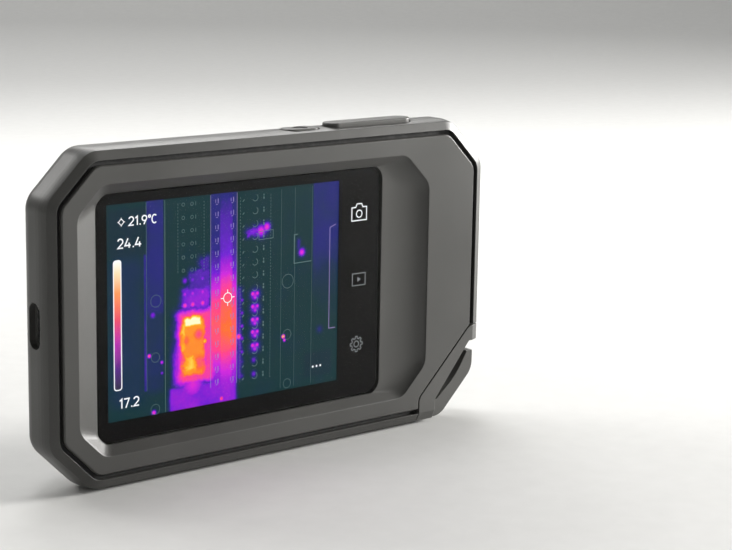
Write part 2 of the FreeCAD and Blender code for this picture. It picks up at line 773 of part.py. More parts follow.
def build_lens_group():
    """Dished insert, aperture plate, windows and camera ring."""
    surround = Piece("lens_surround")
    back_inside = dim.back_face - dim.back_wall
    floor = dim.back_face
    surround.add(circle(dim.turret_x, 0, dim.dish_radius + 2.4), back_inside - 1.4, back_inside)
    surround.add(dish_outline(0.0), back_inside, dim.dish_edge)
    surround.loft([bowl_section(at, floor) for at in (-0.02, 0.12, 0.3, 0.52, 0.76, 1.0)], "SubtractiveLoft")
    surround.cut(circle(dim.turret_x, 0, 20.0), back_inside - 2.0, back_inside + 0.4)
    panel_step = floor - 1.0
    surround.cut(
        rectangle(
            dim.turret_x - dim.panel_half_width - dim.gap, dim.turret_x + dim.panel_half_width + dim.gap,
            -dim.panel_half_height - dim.gap, dim.panel_half_height + dim.gap, 6.1,
        ), panel_step, dim.turret_face,
    )
    surround.cut(
        rectangle(dim.turret_x - 9.0, dim.turret_x + 9.0, -12.7, 12.7, 5.0), back_inside, floor,
    )

    panel = Piece("lens_panel")
    panel.add(
        rectangle(
            dim.turret_x - dim.panel_half_width, dim.turret_x + dim.panel_half_width,
            -dim.panel_half_height, dim.panel_half_height, 6.0,
        ), panel_step, floor,
    )
    panel.dress("Fillet", 0.2, at_level(floor))
    panel.add(
        rectangle(dim.turret_x - 8.8, dim.turret_x + 8.8, -12.5, 12.5, 4.8), back_inside, panel_step,
    )
    panel.cut(circle(dim.turret_x, dim.thermal_z, dim.thermal_radius), floor - 1.3, floor + 1.0)
    panel.cut(circle(dim.turret_x, dim.thermal_z, dim.thermal_radius - 0.8), back_inside - 1.0, floor)
    panel.cut(circle(dim.turret_x, dim.camera_z, dim.camera_radius), floor - 0.9, floor + 1.0)
    panel.cut(circle(dim.turret_x, dim.camera_z, 3.25), floor - 1.4, floor)
    panel.cut(circle(dim.turret_x, dim.camera_z, 2.7), back_inside - 1.0, floor)

    gasket = Piece("window_gasket")
    gasket.add([
        circle(dim.turret_x, dim.thermal_z, dim.thermal_radius - dim.gap),
        circle(dim.turret_x, dim.thermal_z, dim.thermal_radius - 0.8),
    ], floor - 1.3, floor - 1.0)
    window = Piece("thermal_window")
    window.add(circle(dim.turret_x, dim.thermal_z, dim.thermal_radius - 0.05), floor - 1.0, floor - 0.1)
    window.dress("Chamfer", 0.15, at_level(floor - 0.1))

    ring = Piece("camera_ring")
    ring.add([
        circle(dim.turret_x, dim.camera_z, dim.camera_radius - 0.05),
        circle(dim.turret_x, dim.camera_z, 3.15),
    ], floor - 0.9, floor + 0.1)

    def inner_rim(edge):
        small = hasattr(edge.Curve, "Radius") and abs(edge.Curve.Radius - 3.15) < 1e-3
        return small and abs(edge.CenterOfMass.y - (floor + 0.1).value) < 1e-3

    ring.dress("Chamfer", 0.7, inner_rim)
    cover = Piece("camera_window")
    cover.add(circle(dim.turret_x, dim.camera_z, 3.2), floor - 1.4, floor - 0.9)


def build_lamp():
    """Obround lamp insert that follows the bevel, its lens, emitter and board."""
    window = Piece("led_window").loft(body_sections())
    window.cut(
        all_but(pill(dim.lamp_left, dim.lamp_right, dim.lamp_z, 6.0)), dim.front_face - 1.0, dim.turret_face
    )
    window.loft(body_sections(-1.8), "SubtractiveLoft")
    lens_hole = circle(dim.lamp_lens_x, dim.lamp_z, dim.lamp_lens_radius - 0.05)
    window.cut(lens_hole, dim.shoulder, dim.turret_face)
    lens = Piece("led_lens").loft(body_sections(-0.05))
    lens.cut(
        all_but(circle(dim.lamp_lens_x, dim.lamp_z, dim.lamp_lens_radius - 0.12)),
        dim.front_face - 1.0, dim.turret_face,
    )
    lens.loft(body_sections(-1.5), "SubtractiveLoft")
    board = Piece("led_board")
    board.add(rectangle(6.5, 20.5, 25.6, 29.6, 0.5), 2.6, 3.3)
    emitter = Piece("led_emitter")
    emitter.add(
        rectangle(dim.lamp_lens_x - 0.9, dim.lamp_lens_x + 0.9, dim.lamp_z - 2.0, dim.lamp_z - 0.2), 3.3, 4.0
    )


def build_charging_socket():
    """Steel shell of the socket and the contact tongue inside it."""
    row, mouth = dim.usb_row, dim.usb_mouth
    end = mouth + dim.usb_length
    half_w, half_h = dim.usb_width / 2, dim.usb_height / 2
    shell = Piece("usb_c_shell")
    shell.add(rectangle(row - half_h, row + half_h, -half_w, half_w, half_h * 0.96), mouth, end, across="x")
    shell.cut(
        rectangle(row - half_h + 0.3, row + half_h - 0.3, -half_w + 0.3, half_w - 0.3, half_h * 0.96 - 0.3),
        mouth - 1.0, end - 0.8, across="x",
    )
    tongue = Piece("usb_c_tongue")
    tongue.add(rectangle(row - 0.35, row + 0.35, -3.35, 3.35, 0.2), mouth + 0.9, end - 0.8, across="x")


def build_board():
    """Main board and the parts soldered to it."""
    front, back = dim.board_front, dim.board_back
    board = Piece("main_pcb")
    board.add(polygon([
        (58.5, 31.2, 2.0), (61.5, 28.2, 2.0), (61.5, -13.0, 2.0), (41.0, -33.5, 2.0),
        (-56.0, -33.5, 2.0), (-61.5, -28.0, 2.0), (-61.5, 28.2, 2.0), (-58.5, 31.2, 2.0),
    ]), front, back)
    for x, z in BOARD_POSTS:
        board.cut(circle(x, z, 1.05), front - 0.1, back + 0.1)
    for name, left, right, low, high, height in (
        ("processor", -48.0, -35.0, -2.0, 11.0, 1.2),
        ("memory_chip", -46.0, -36.0, -28.0, -17.0, 1.0),
        ("wifi_module", -50.0, -38.0, 20.0, 30.0, 1.8),
        ("battery_header", 1.0, 6.0, -16.0, -8.0, 2.4),
        ("core_socket", -23.6, -10.2, -0.8, 12.8, 2.0),
    ):
        Piece(name).add(rectangle(left, right, low, high, 0.2), back, back + height)
    can = Piece("shield_can")
    can.add(rectangle(-52.0, -30.0, -6.0, 15.0, 0.8), back, back + 2.2)
    can.cut(rectangle(-51.7, -30.3, -5.7, 14.7, 0.5), back - 0.5, back + 1.9)


def build_sensors():
    """Infrared sensor with its lens, shutter and the visible-light camera."""
    back = dim.board_back
    core_top = back + 5.6
    x, z = dim.turret_x, dim.thermal_z
    core = Piece("thermal_core")
    core.add(rectangle(x - 5.8, x + 5.8, z - 5.8, z + 5.8, 0.4), back + 2.0, core_top)
    lens = Piece("thermal_lens")
    lens.add(circle(x, z, 3.6), core_top, core_top + 1.4)
    frame = Piece("shutter_frame")
    frame.add([
        polygon([
            (x - 6.5, z + 11.5, 1.0), (x + 12.5, z + 11.5, 1.0),
            (x + 12.5, z - 6.0, 1.0), (x - 6.5, z - 6.0, 1.0),
        ]),
        circle(x, z, 3.2),
    ], core_top + 1.5, core_top + 1.9)
    pivot_x, pivot_z = x + 9.5, z + 4.5
    frame.cut(circle(pivot_x, pivot_z, 0.7), core_top, core_top + 3.0)
    motor = Piece("shutter_motor")
    motor.add(circle(pivot_x, pivot_z, 2.3), core_top - 2.6, core_top + 1.5)
    motor.cut(circle(pivot_x, pivot_z, 0.55), core_top - 1.0, core_top + 2.0)
    blade = Piece("shutter_blade")
    flag_x, flag_z = x - 0.4, z + 8.0
    blade.add(circle(flag_x, flag_z, 3.6), core_top + 2.1, core_top + 2.35)
    blade.add(
        rectangle(flag_x, pivot_x + 1.0, flag_z - 3.9, flag_z - 2.0, 0.3), core_top + 2.1, core_top + 2.35
    )
    blade.add(circle(pivot_x, pivot_z, 0.5), core_top + 0.5, core_top + 2.35)
    camera = Piece("camera_module")
    camera.add(
        rectangle(x - 4.2, x + 4.2, dim.camera_z - 4.2, dim.camera_z + 4.2, 0.5), back, back + 5.6
    )
    camera.add(circle(x, dim.camera_z, 3.1), back + 5.6, back + 9.3)
    camera.cut(circle(x, dim.camera_z, 1.9), back + 8.2, back + 10.0)


def build_power():
    """Battery cell, foam pad, plug and the wireless aerial."""
    Piece("battery_cell").add(rectangle(10.0, 56.0, -17.0, 24.0, 2.0), dim.board_back + 0.6, 3.6)
    Piece("battery_pad").add(rectangle(14.0, 48.0, -12.0, 19.0, 1.0), 3.6, dim.back_face - dim.back_wall)
    Piece("battery_plug").add(
        rectangle(1.5, 5.5, -15.5, -8.5, 0.2), dim.board_back + 2.4, dim.board_back + 4.4
    )
    inside_top = dim.body_height / 2 - dim.wall
    Piece("wifi_antenna").add(rectangle(-53.0, -35.0, inside_top - 0.5, inside_top, 0.2), -5.4, -1.5)


def screw_group(name, screws):
    """Identical screws as one node; each is a head and a shank along one direction.

    A screw is (start, direction, head length, head radius, whole length, shank radius).
    """
    links = []
    for index, (start, direction, head, head_radius, length, radius) in enumerate(screws):
        placement = FreeCAD.Placement(start, FreeCAD.Rotation(FreeCAD.Vector(0, 0, 1), direction))
        parts = []
        for role, height, width in (("head", head, head_radius), ("shank", length, radius)):
            item = doc.addObject("Part::Cylinder", "%s_%s_%d" % (name, role, index))
            item.Height = height
            item.Radius = width
            item.Placement = placement
            parts.append(item)
        screw = doc.addObject("Part::Fuse", "%s_%d" % (name, index))
        screw.Base, screw.Tool = parts
        links.append(screw)
    group = doc.addObject("Part::Compound", name)
    group.Links = links
    group.Label = name
    group.setExpression("Placement.Base.z", dim.centre_height.text)
    nodes[name] = group


def build_screws():
    """Screws of the main board, of the display frame and of the lanyard bracket."""
    backwards = FreeCAD.Vector(0, 1, 0)
    front = dim.board_front.value - 1.0
    screw_group("pcb_screws", [
        (FreeCAD.Vector(x, front, z), backwards, 1.0, 1.8, 5.2, 0.68) for x, z in BOARD_POSTS
    ])
    sheet_back = dim.lcd_back.value + 1.2
    screw_group("frame_screws", [
        (FreeCAD.Vector(x, sheet_back, z), -backwards, 0.6, 1.5, 3.0, 0.58) for x, z in FRAME_POSTS
    ])
    screw_group("lanyard_screws", [
        (lanyard_point(52.9, along), OUTWARDS, 1.3, 1.5, 6.6, 0.76) for along in LANYARD_SCREWS
    ])


def lead_path(points):
    """Straight runs joined by tangent arcs, each as large as its two runs allow."""
    points = [FreeCAD.Vector(*point) for point in points]
    edges, start = [], points[0]
    for before, corner, after in zip(points, points[1:], points[2:]):
        arrive = (before - corner).normalize()
        leave = (after - corner).normalize()
        shorter = min((before - corner).Length, (after - corner).Length)
        half = arrive.getAngle(leave) / 2
        trim = 0.45 * shorter
        radius = trim * math.tan(half)
        bisector = (arrive + leave).normalize()
        first = corner + arrive * trim
        last = corner + leave * trim
        nearest = corner + bisector * (radius / math.sin(half) - radius)
        edges.append(Part.LineSegment(start, first).toShape())
        edges.append(Part.Arc(first, nearest, last).toShape())
        start = last
    edges.append(Part.LineSegment(start, points[-1]).toShape())
    return Part.Wire(edges)


def lead(name, points, radius):
    """Round lead along a path; the solid is the true length."""
    path = lead_path(points)
    along = path.Edges[0].tangentAt(path.Edges[0].FirstParameter)
    profile = Part.Wire(Part.Circle(path.Vertexes[0].Point, along, radius).toShape())
    item = doc.addObject("Part::Feature", name)
    item.Shape = path.makePipeShell([profile], True, True)
    item.Placement.Base.z = dim.centre_height.value
    expected = math.pi * radius ** 2 * path.Length
    if abs(item.Shape.Volume - expected) > 0.02 * expected:
        raise RuntimeError("%s has the wrong volume" % name)
    nodes[name] = item


def build_leads():
    """Battery lead, coaxial lead of the aerial and the display's flat cable."""
    lead("battery_lead", [
        (5.5, 0.15, -12.0), (7.2, 0.15, -12.0), (8.3, 0.15, -10.6), (10.0, 0.15, -10.6),
    ], 0.8)
    lead("antenna_cable", [
        (-44.0, -2.2, 30.0), (-44.0, -2.2, 32.2), (-45.2, -2.2, 34.4), (-45.2, -2.2, 36.6),
    ], 0.45)
    strip = Piece("display_flex")
    start = dim.lcd_left + dim.lcd_width
    near, far = dim.lcd_back - 1.2, dim.board_front
    outer, inner, thick = 0.6, 0.4, 0.2
    bend = start + 3.0
    strip.add(polygon([
        (start, near, 0), (bend, near, outer), (bend, far, outer), (start, far, 0),
        (start, far - thick, 0), (bend - thick, far - thick, inner),
        (bend - thick, near + thick, inner), (start, near + thick, 0),
    ]), -8.0, 8.0, across="z")


def check_and_write():
    """Stop on any failed object or bad solid, then write one STEP file for each node."""
    doc.recompute()
    for item in doc.Objects:
        if "Invalid" in item.State or "Error" in item.State:
            raise RuntimeError("%s is %s" % (item.Label, item.State))
    for name, item in nodes.items():
        if item.Shape.isNull() or not item.Shape.isValid() or item.Shape.Volume <= 0:
            raise RuntimeError("%s has no valid solid" % name)
    os.makedirs("parts", exist_ok=True)
    for name, item in nodes.items():
        item.Shape.exportStep("parts/%s.step" % name)
        box = item.Shape.BoundBox
        print("%-18s solids %d  volume %9.1f  x %.2f..%.2f  y %.2f..%.2f  z %.2f..%.2f" % (
            name, len(item.Shape.Solids), item.Shape.Volume,
            box.XMin, box.XMax, box.YMin, box.YMax, box.ZMin, box.ZMax,
        ))
    print("nodes:", len(nodes))


build_rear_housing()
build_front_bezel()
build_lanyard_bracket()
build_case_gasket()
build_display()
build_buttons()
build_lens_group()
build_lamp()
build_charging_socket()
build_board()
build_sensors()
build_power()
build_screws()
build_leads()
check_and_write()
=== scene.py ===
import math

import bmesh
import bpy
from mathutils import Matrix, Vector


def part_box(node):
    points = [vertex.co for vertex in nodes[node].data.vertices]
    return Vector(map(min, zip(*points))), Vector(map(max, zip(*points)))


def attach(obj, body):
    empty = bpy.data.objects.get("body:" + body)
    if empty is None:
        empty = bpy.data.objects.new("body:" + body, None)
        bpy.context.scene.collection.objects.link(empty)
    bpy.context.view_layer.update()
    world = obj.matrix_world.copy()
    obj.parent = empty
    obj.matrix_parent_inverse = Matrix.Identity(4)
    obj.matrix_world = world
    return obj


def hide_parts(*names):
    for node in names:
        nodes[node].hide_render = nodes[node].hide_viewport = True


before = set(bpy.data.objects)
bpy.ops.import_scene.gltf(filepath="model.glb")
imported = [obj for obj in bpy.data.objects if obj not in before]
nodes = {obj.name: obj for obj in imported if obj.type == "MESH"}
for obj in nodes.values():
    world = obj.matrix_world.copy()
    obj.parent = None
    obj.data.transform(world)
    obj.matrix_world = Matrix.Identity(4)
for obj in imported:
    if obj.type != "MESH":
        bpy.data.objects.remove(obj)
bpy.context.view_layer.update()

MM = 0.001

# Heights are measured from the middle of the case, as the CAD model's are.
CENTRE_HEIGHT = 41.5 * MM

glass_low, glass_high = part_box("display_glass")
panel_low, panel_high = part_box("lcd_module")
ACTIVE_WIDTH = 71.1 * MM
ACTIVE_HEIGHT = 53.3 * MM
active_centre = (panel_low + panel_high) / 2
PANEL_FRONT = panel_low.y
# The panel and the printed border carry most of the display's gloss, in place of the cover glass.
PANEL_GLOSS = 0.16
# The printed border lies in the gap between this plane and the back of the CAD glass.
GLASS_BACK = glass_high.y - 0.3 * MM


# ---------------------------------------------------------------- material helpers

class Graph:
    """A material whose nodes are added and linked in one call each."""

    def __init__(self, name):
        self.material = bpy.data.materials.new(name)
        self.material.use_nodes = True
        self.tree = self.material.node_tree
        self.shader = self.tree.nodes["Principled BSDF"]

    def connect(self, node, inputs):
        for key, value in inputs.items():
            socket = node.inputs[key]
            if isinstance(value, bpy.types.NodeSocket):
                self.tree.links.new(value, socket)
            else:
                socket.default_value = value

    def add(self, kind, inputs=None, **settings):
        node = self.tree.nodes.new(kind)
        for key, value in settings.items():
            setattr(node, key, value)
        self.connect(node, inputs or {})
        return node

    def set(self, inputs):
        self.connect(self.shader, inputs)

    def math(self, operation, first, second=0.0):
        node = self.add("ShaderNodeMath", {0: first, 1: second}, operation=operation)
        return node.outputs[0]

    def vector(self, operation, first, second, output):
        node = self.add("ShaderNodeVectorMath", {0: first, 1: second}, operation=operation)
        return node.outputs[output]

    def position(self):
        return self.add("ShaderNodeTexCoord").outputs["Object"]

    def noise(self, where, scale, detail=2.0, roughness=0.5):
        node = self.add("ShaderNodeTexNoise", {
            "Vector": where, "Scale": scale, "Detail": detail, "Roughness": roughness,
        })
        return node.outputs["Fac"]

    def spread(self, value, low, high, start=0.0, end=1.0, smooth=False):
        node = self.add("ShaderNodeMapRange", {
            "Value": value, "From Min": low, "From Max": high, "To Min": start, "To Max": end,
        }, interpolation_type="SMOOTHSTEP" if smooth else "LINEAR")
        return node.outputs["Result"]

    def mix(self, factor, first, second):
        node = self.add("ShaderNodeMix", {"Factor": factor}, data_type="RGBA")
        for socket, value in ((node.inputs[6], first), (node.inputs[7], second)):
            if isinstance(value, bpy.types.NodeSocket):
                self.tree.links.new(value, socket)
            else:
                socket.default_value = value
        return node.outputs[2]

    def ramp(self, value, stops):
        node = self.add("ShaderNodeValToRGB", {"Fac": value})
        elements = node.color_ramp.elements
        while len(elements) < len(stops):
            elements.new(0.5)
        for element, (place, colour) in zip(elements, stops):
            element.position = place
            element.color = colour
        return node.outputs["Color"]

    def bump(self, height, strength, distance, normal=None):
        inputs = {"Height": height, "Strength": strength, "Distance": distance}
        if normal is not None:
            inputs["Normal"] = normal
        self.set({"Normal": self.add("ShaderNodeBump", inputs).outputs["Normal"]})


def grey(value):
    return (value, value, value, 1.0)


def scaled(colour, factor):
    """The colour made lighter or darker, with full alpha."""
    return tuple(min(1.0, c * factor) for c in colour[:3]) + (1,)


def middle_of(node):
    low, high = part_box(node)
    return (low + high) / 2


def moulded_plastic(name, colour, roughness, grain):
    """Moulded plastic: spark-eroded grain, slow tone changes and lighter rubbed edges.

    The grain is the size of its texture in millimetres.
    """
    depth = 0.012 * MM
    edge_radius = 0.3 * MM
    wear = 0.5
    g = Graph(name)
    where = g.position()
    fine = g.noise(where, 1.0 / (grain * MM), detail=3.0, roughness=0.6)
    coarse = g.noise(where, 1.0 / (grain * 5 * MM), detail=2.0)
    cloud = g.noise(where, 28.0, detail=4.0, roughness=0.55)
    shade = g.math("ADD", g.math("MULTIPLY", fine, 0.5), g.math("MULTIPLY", cloud, 0.5))
    tone = g.mix(g.spread(shade, 0.35, 0.65), scaled(colour, 0.88), scaled(colour, 1.1))
    true_normal = g.add("ShaderNodeNewGeometry").outputs["Normal"]
    rounded = g.add("ShaderNodeBevel", {"Radius": edge_radius}, samples=6).outputs["Normal"]
    lean = g.vector("DOT_PRODUCT", true_normal, rounded, "Value")
    patchy = g.spread(g.noise(where, 420.0, detail=3.0), 0.42, 0.62)
    edge = g.math("MULTIPLY", g.spread(lean, 0.985, 0.86), g.math("MULTIPLY", patchy, wear))
    rubbed = tuple(min(1.0, c * 2.1 + 0.01) for c in colour[:3]) + (1,)
    g.set({
        "Base Color": g.mix(edge, tone, rubbed),
        "Roughness": g.math(
            "SUBTRACT", g.spread(cloud, 0.3, 0.7, roughness - 0.05, roughness + 0.06),
            g.math("MULTIPLY", edge, 0.12),
        ),
        "IOR": 1.5,
    })
    height = g.math("ADD", g.math("MULTIPLY", fine, 0.75), g.math("MULTIPLY", coarse, 0.45))
    g.bump(height, 0.55, depth, rounded)
    return g.material


def black_rubber(name):
    """Dull black rubber with some dust in it."""
    g = Graph(name)
    dust = g.noise(g.position(), 900.0, detail=4.0)
    g.set({
        "Base Color": g.mix(g.spread(dust, 0.55, 0.8), grey(0.006), grey(0.02)),
        "Roughness": g.spread(dust, 0.3, 0.7, 0.6, 0.85),
    })
    g.bump(dust, 0.3, 0.02 * MM)
    return g.material


def metal(name, colour, roughness=0.28, brushed=(1.0, 12.0, 1.0)):
    """Metal with fine streaks; a larger factor makes them finer along that axis."""
    g = Graph(name)
    stretched = g.vector("MULTIPLY", g.position(), brushed, "Vector")
    streak = g.noise(stretched, 1800.0, detail=4.0)
    g.set({
        "Base Color": g.mix(streak, scaled(colour, 0.85), colour),
        "Roughness": g.spread(streak, 0.2, 0.8, roughness - 0.07, roughness + 0.1),
        "Metallic": 1.0,
    })
    g.bump(streak, 0.15, 0.01 * MM)
    return g.material


def speckled(name, colour, roughness, scale=700.0, contrast=0.25):
    """Small parts: one tone broken by speckle and a soft bump."""
    g = Graph(name)
    dots = g.noise(g.position(), scale, detail=4.0)
    g.set({
        "Base Color": g.mix(
            g.spread(dots, 0.3, 0.7), scaled(colour, 1 - contrast), scaled(colour, 1 + contrast),
        ),
        "Roughness": g.spread(dots, 0.3, 0.7, roughness - 0.08, roughness + 0.1),
    })
    g.bump(dots, 0.2, 0.02 * MM)
    return g.material


def clear_glass(name, index, roughness=0.0, tint=(1, 1, 1, 1)):
    """Polished glass; a faint film of finger grease breaks the gloss here and there.

    A glass with an anti-glare coating is given a lower index.
    """
    g = Graph(name)
    film = g.noise(g.position(), 60.0, detail=5.0, roughness=0.6)
    g.set({
        "Base Color": tint,
        "Roughness": g.spread(film, 0.55, 0.8, roughness, roughness + 0.04),
        "Transmission Weight": 1.0,
        "IOR": index,
    })
    return g.material


def gloss_black(name, base, roughness, specular=0.5):
    """Black plastic or print whose gloss is broken by faint smears."""
    g = Graph(name)
    smear = g.noise(g.position(), 90.0, detail=4.0)
    g.set({
        "Specular IOR Level": specular,
        "Base Color": g.mix(smear, grey(base), grey(base * 1.6)),
        "Roughness": g.spread(smear, 0.4, 0.75, roughness, roughness + 0.06),
        "IOR": 1.5,
    })
    return g.material


def coated_window(name):
    """Infrared window: opaque green interference coating, with painted shade darkening it towards the rim and
    a faint painted glow.
    """
    g = Graph(name)
    where = g.position()
    away = g.vector("DISTANCE", where, tuple(middle_of("thermal_window")), "Value")
    layers = g.noise(where, 240.0, detail=3.0)
    # painted shade: from 3 to 5.5 mm out the colour is mixed towards a darker green, standing in for the
    # shadow of the recess round the window
    rim = g.spread(away, 3.0 * MM, 5.5 * MM, smooth=True)
    body = g.mix(g.spread(layers, 0.35, 0.65), (0.016, 0.58, 0.15, 1), (0.026, 0.66, 0.19, 1))
    colour = g.mix(rim, body, (0.006, 0.34, 0.075, 1))
    g.set({
        "Base Color": colour,
        "Roughness": g.spread(layers, 0.3, 0.7, 0.10, 0.18),
        "Metallic": 0.55,
        "Coat Weight": 1.0,
        "Coat Roughness": 0.03,
        # painted glow: the window emits a little of its own colour, though it is no lamp
        "Emission Color": colour,
        "Emission Strength": 0.12,
    })
    return g.material


# ---------------------------------------------------------------- the picture on the display

# False-colour scale, coldest first.
HEAT_STOPS = (
    (0.00, (0.003, 0.030, 0.036, 1)), (0.14, (0.006, 0.023, 0.082, 1)), (0.26, (0.016, 0.014, 0.215, 1)),
    (0.38, (0.150, 0.006, 0.640, 1)), (0.50, (0.640, 0.012, 0.710, 1)), (0.62, (1.000, 0.050, 0.230, 1)),
    (0.74, (1.000, 0.150, 0.030, 1)), (0.86, (1.000, 0.400, 0.006, 1)), (0.95, (1.000, 0.800, 0.120, 1)),
    (1.00, (1.000, 0.960, 0.600, 1)),
)


class Heat:
    """Temperature field on the display, in millimetres from the picture's middle."""

    def __init__(self, graph):
        self.g = graph
        split = graph.add("ShaderNodeSeparateXYZ", {"Vector": graph.position()})
        self.x = graph.math("DIVIDE", graph.math("SUBTRACT", split.outputs["X"], active_centre.x), MM)
        self.z = graph.math("DIVIDE", graph.math("SUBTRACT", split.outputs["Z"], active_centre.z), MM)
        self.depth = split.outputs["Y"]
        ragged = graph.noise(graph.position(), 520.0, detail=3.0, roughness=0.6)
        self.waver = graph.spread(ragged, 0.2, 0.8, -1.0, 1.0)
        self.total = 0.0

    def step(self, value, edge, soft, rising=True):
        low, high = (edge - soft, edge + soft) if rising else (edge + soft, edge - soft)
        return self.g.spread(value, low, high, smooth=True)

    def block(self, left, right, low, high, soft, ragged=0.0, fade=None):
        """1 inside a rectangle, 0 outside; soft and fade blur the upright and the level edges."""
        fade = fade or soft
        x = self.g.math("ADD", self.x, self.g.math("MULTIPLY", self.waver, ragged))
        z = self.g.math("ADD", self.z, self.g.math("MULTIPLY", self.waver, ragged))
        across = self.g.math("MULTIPLY", self.step(x, left, soft), self.step(x, right, soft, False))
        along = self.g.math("MULTIPLY", self.step(z, low, fade), self.step(z, high, fade, False))
        return self.g.math("MULTIPLY", across, along)

    def spot(self, x, z, radius):
        """1 at a point, falling to 0 at the radius."""
        across = self.g.math("SUBTRACT", self.x, x)
        along = self.g.math("SUBTRACT", self.z, z)
        squared = self.g.math("ADD", self.g.math("POWER", across, 2.0), self.g.math("POWER", along, 2.0))
        return self.g.spread(self.g.math("SQRT", squared), radius, 0.0, smooth=True)

    def profile(self, stops, left, right, soft):
        """Upright band whose level follows (height, level) stops from the bottom to the top."""
        low, high = stops[0][0], stops[-1][0]
        ramp = [((z - low) / (high - low), grey(level)) for z, level in stops]
        z = self.g.math("ADD", self.z, self.g.math("MULTIPLY", self.waver, 0.4))
        level = self.g.ramp(self.g.spread(z, low, high), ramp)
        across = self.g.math("MULTIPLY", self.step(self.x, left, soft), self.step(self.x, right, soft, False))
        return self.g.math("MULTIPLY", level, across)

    def raise_to(self, level, shape):
        self.total = self.g.math("MAXIMUM", self.total, self.g.math("MULTIPLY", shape, level))

    def change(self, amount, shape):
        self.total = self.g.math("ADD", self.total, self.g.math("MULTIPLY", shape, amount))


# Contacts of the terminal block: their pitch, the top one's height, and the heights of the warm ones.
PITCH = 3.28
TOP_CONTACT = 24.8
CONTACTS = 15
WARM_CONTACTS = (-0.4, -3.7, -7.1, -10.3, -13.8)


def cool_columns(heat):
    """Cabinet wall and its cool upright channels."""
    heat.raise_to(0.11, heat.block(-34.5, -25, -23, 13, 3.0))
    heat.raise_to(0.22, heat.block(-24.2, -19.2, -2, 40, 0.3, fade=2.0))
    heat.raise_to(0.13, heat.block(-24.3, -19.3, -21, 2, 0.3, fade=1.5))
    heat.raise_to(0.26, heat.block(-25.0, -24.1, -20.5, 13.7, 0.25))
    heat.raise_to(0.21, heat.block(27.1, 40, 2.0, 60, 0.4, fade=9.0))
    heat.raise_to(0.23, heat.spot(29.6, -12.0, 2.0))


def warm_rail(heat):
    """Rail from top to bottom: blue at the top, orange below the middle."""
    heat.raise_to(1.0, heat.profile((
        (-26.7, 0.34), (-21.0, 0.42), (-17.0, 0.54), (-13.0, 0.66), (-8.0, 0.74), (-3.0, 0.73),
        (2.0, 0.60), (7.0, 0.46), (12.0, 0.37), (26.7, 0.25),
    ), -3.0, 2.2, 1.2))
    heat.raise_to(1.0, heat.profile((
        (-26.7, 0.30), (-19.0, 0.42), (-13.0, 0.62), (-6.0, 0.70), (-1.0, 0.62), (3.0, 0.48), (9.0, 0.32),
        (16.0, 0.25), (26.7, 0.22),
    ), -5.1, 2.8, 0.2))


def hot_block(heat):
    """Glowing terminal block left of the rail, its stepped top, and the warm foot under it."""
    heat.raise_to(0.28, heat.block(-8.8, -5.0, 0, 11.6, 1.2, 0.7))
    heat.raise_to(0.32, heat.block(-12.2, -5.0, -1, 8.4, 1.2, 0.8))
    heat.raise_to(0.41, heat.block(-14.4, -5.0, -2, 4.4, 1.3, 0.8))
    for z, level in ((5.8, 0.42), (2.4, 0.50), (-0.4, 0.60)):
        for x in (-12.9, -10.6, -7.6):
            heat.raise_to(level, heat.spot(x, z, 1.8))
    heat.raise_to(0.41, heat.block(-17.8, 3.0, -40, -20.6, 1.0, 0.3))
    heat.raise_to(0.52, heat.spot(-10.5, -21.0, 9.0))
    heat.raise_to(0.45, heat.block(-16.8, -5.0, -22.5, -8.0, 1.5, 0.5, fade=5.0))
    heat.raise_to(0.60, heat.block(-16.0, -3.2, -21.2, -1.2, 2.2, 0.6, fade=2.0))
    heat.raise_to(0.80, heat.block(-14.8, -6.0, -19.4, -2.4, 1.8, 0.7, fade=1.9))
    heat.raise_to(0.90, heat.block(-14.8, -7.6, -18.6, -12.0, 2.4, 1.1))
    heat.raise_to(0.90, heat.block(-15.0, -11.6, -13.0, -4.0, 1.8, 0.8))
    heat.raise_to(1.00, heat.block(-13.8, -7.2, -6.6, -2.9, 1.3, 0.6))
    heat.raise_to(0.91, heat.spot(-7.0, -10.2, 2.0))
    heat.change(-0.17, heat.spot(-8.8, -8.2, 2.0))
    heat.change(-0.10, heat.spot(-12.8, -9.2, 1.8))
    heat.change(-0.12, heat.spot(-8.4, -15.4, 2.8))
    heat.change(-0.07, heat.spot(-13.0, -15.0, 2.2))


def contacts(heat):
    """Warm screws right of the rail."""
    heat.raise_to(0.30, heat.block(2.6, 4.7, -22, 2.5, 0.8, 0.6))
    for z in WARM_CONTACTS:
        heat.raise_to(0.44, heat.spot(8.6, z, 3.3))
        heat.raise_to(0.58, heat.spot(7.9, z + 0.4, 1.4))
        heat.raise_to(0.56, heat.spot(9.3, z + 0.4, 1.3))
        heat.raise_to(0.50, heat.spot(8.6, z - 0.6, 1.4))
        heat.raise_to(0.40, heat.spot(4.5, z - 0.8, 1.3))
    for z in (-17.2, -20.9):
        heat.raise_to(0.37, heat.spot(8.3, z, 1.8))
        heat.raise_to(0.30, heat.spot(4.5, z, 1.4))
    heat.raise_to(0.62, heat.spot(3.5, -10.5, 1.7))


def loose_spots(heat):
    """Stray warm marks about the cabinet."""
    heat.raise_to(0.40, heat.block(5.6, 13.0, 14.7, 17.4, 1.5, 1.1))
    heat.raise_to(0.53, heat.spot(10.4, 16.0, 3.4))
    heat.raise_to(0.56, heat.spot(12.2, 16.8, 2.6))
    heat.raise_to(0.54, heat.spot(23.5, 9.1, 2.3))
    heat.raise_to(0.32, heat.block(21.9, 23.1, 9.6, 12.8, 0.8))
    heat.raise_to(1.00, heat.spot(17.7, -12.4, 1.0))
    heat.raise_to(0.60, heat.spot(18.1, -13.4, 0.9))
    for x, z, size, level in (
        (-22.4, -1.6, 1.9, 0.4), (-23.5, -11.7, 1.1, 0.66), (-19.8, -13.8, 1.0, 0.5),
        (-19.8, -16.5, 0.9, 0.4), (-22.2, -26.2, 1.4, 0.56), (-1.8, -25.8, 1.5, 0.68),
    ):
        heat.raise_to(level, heat.spot(x, z, size))


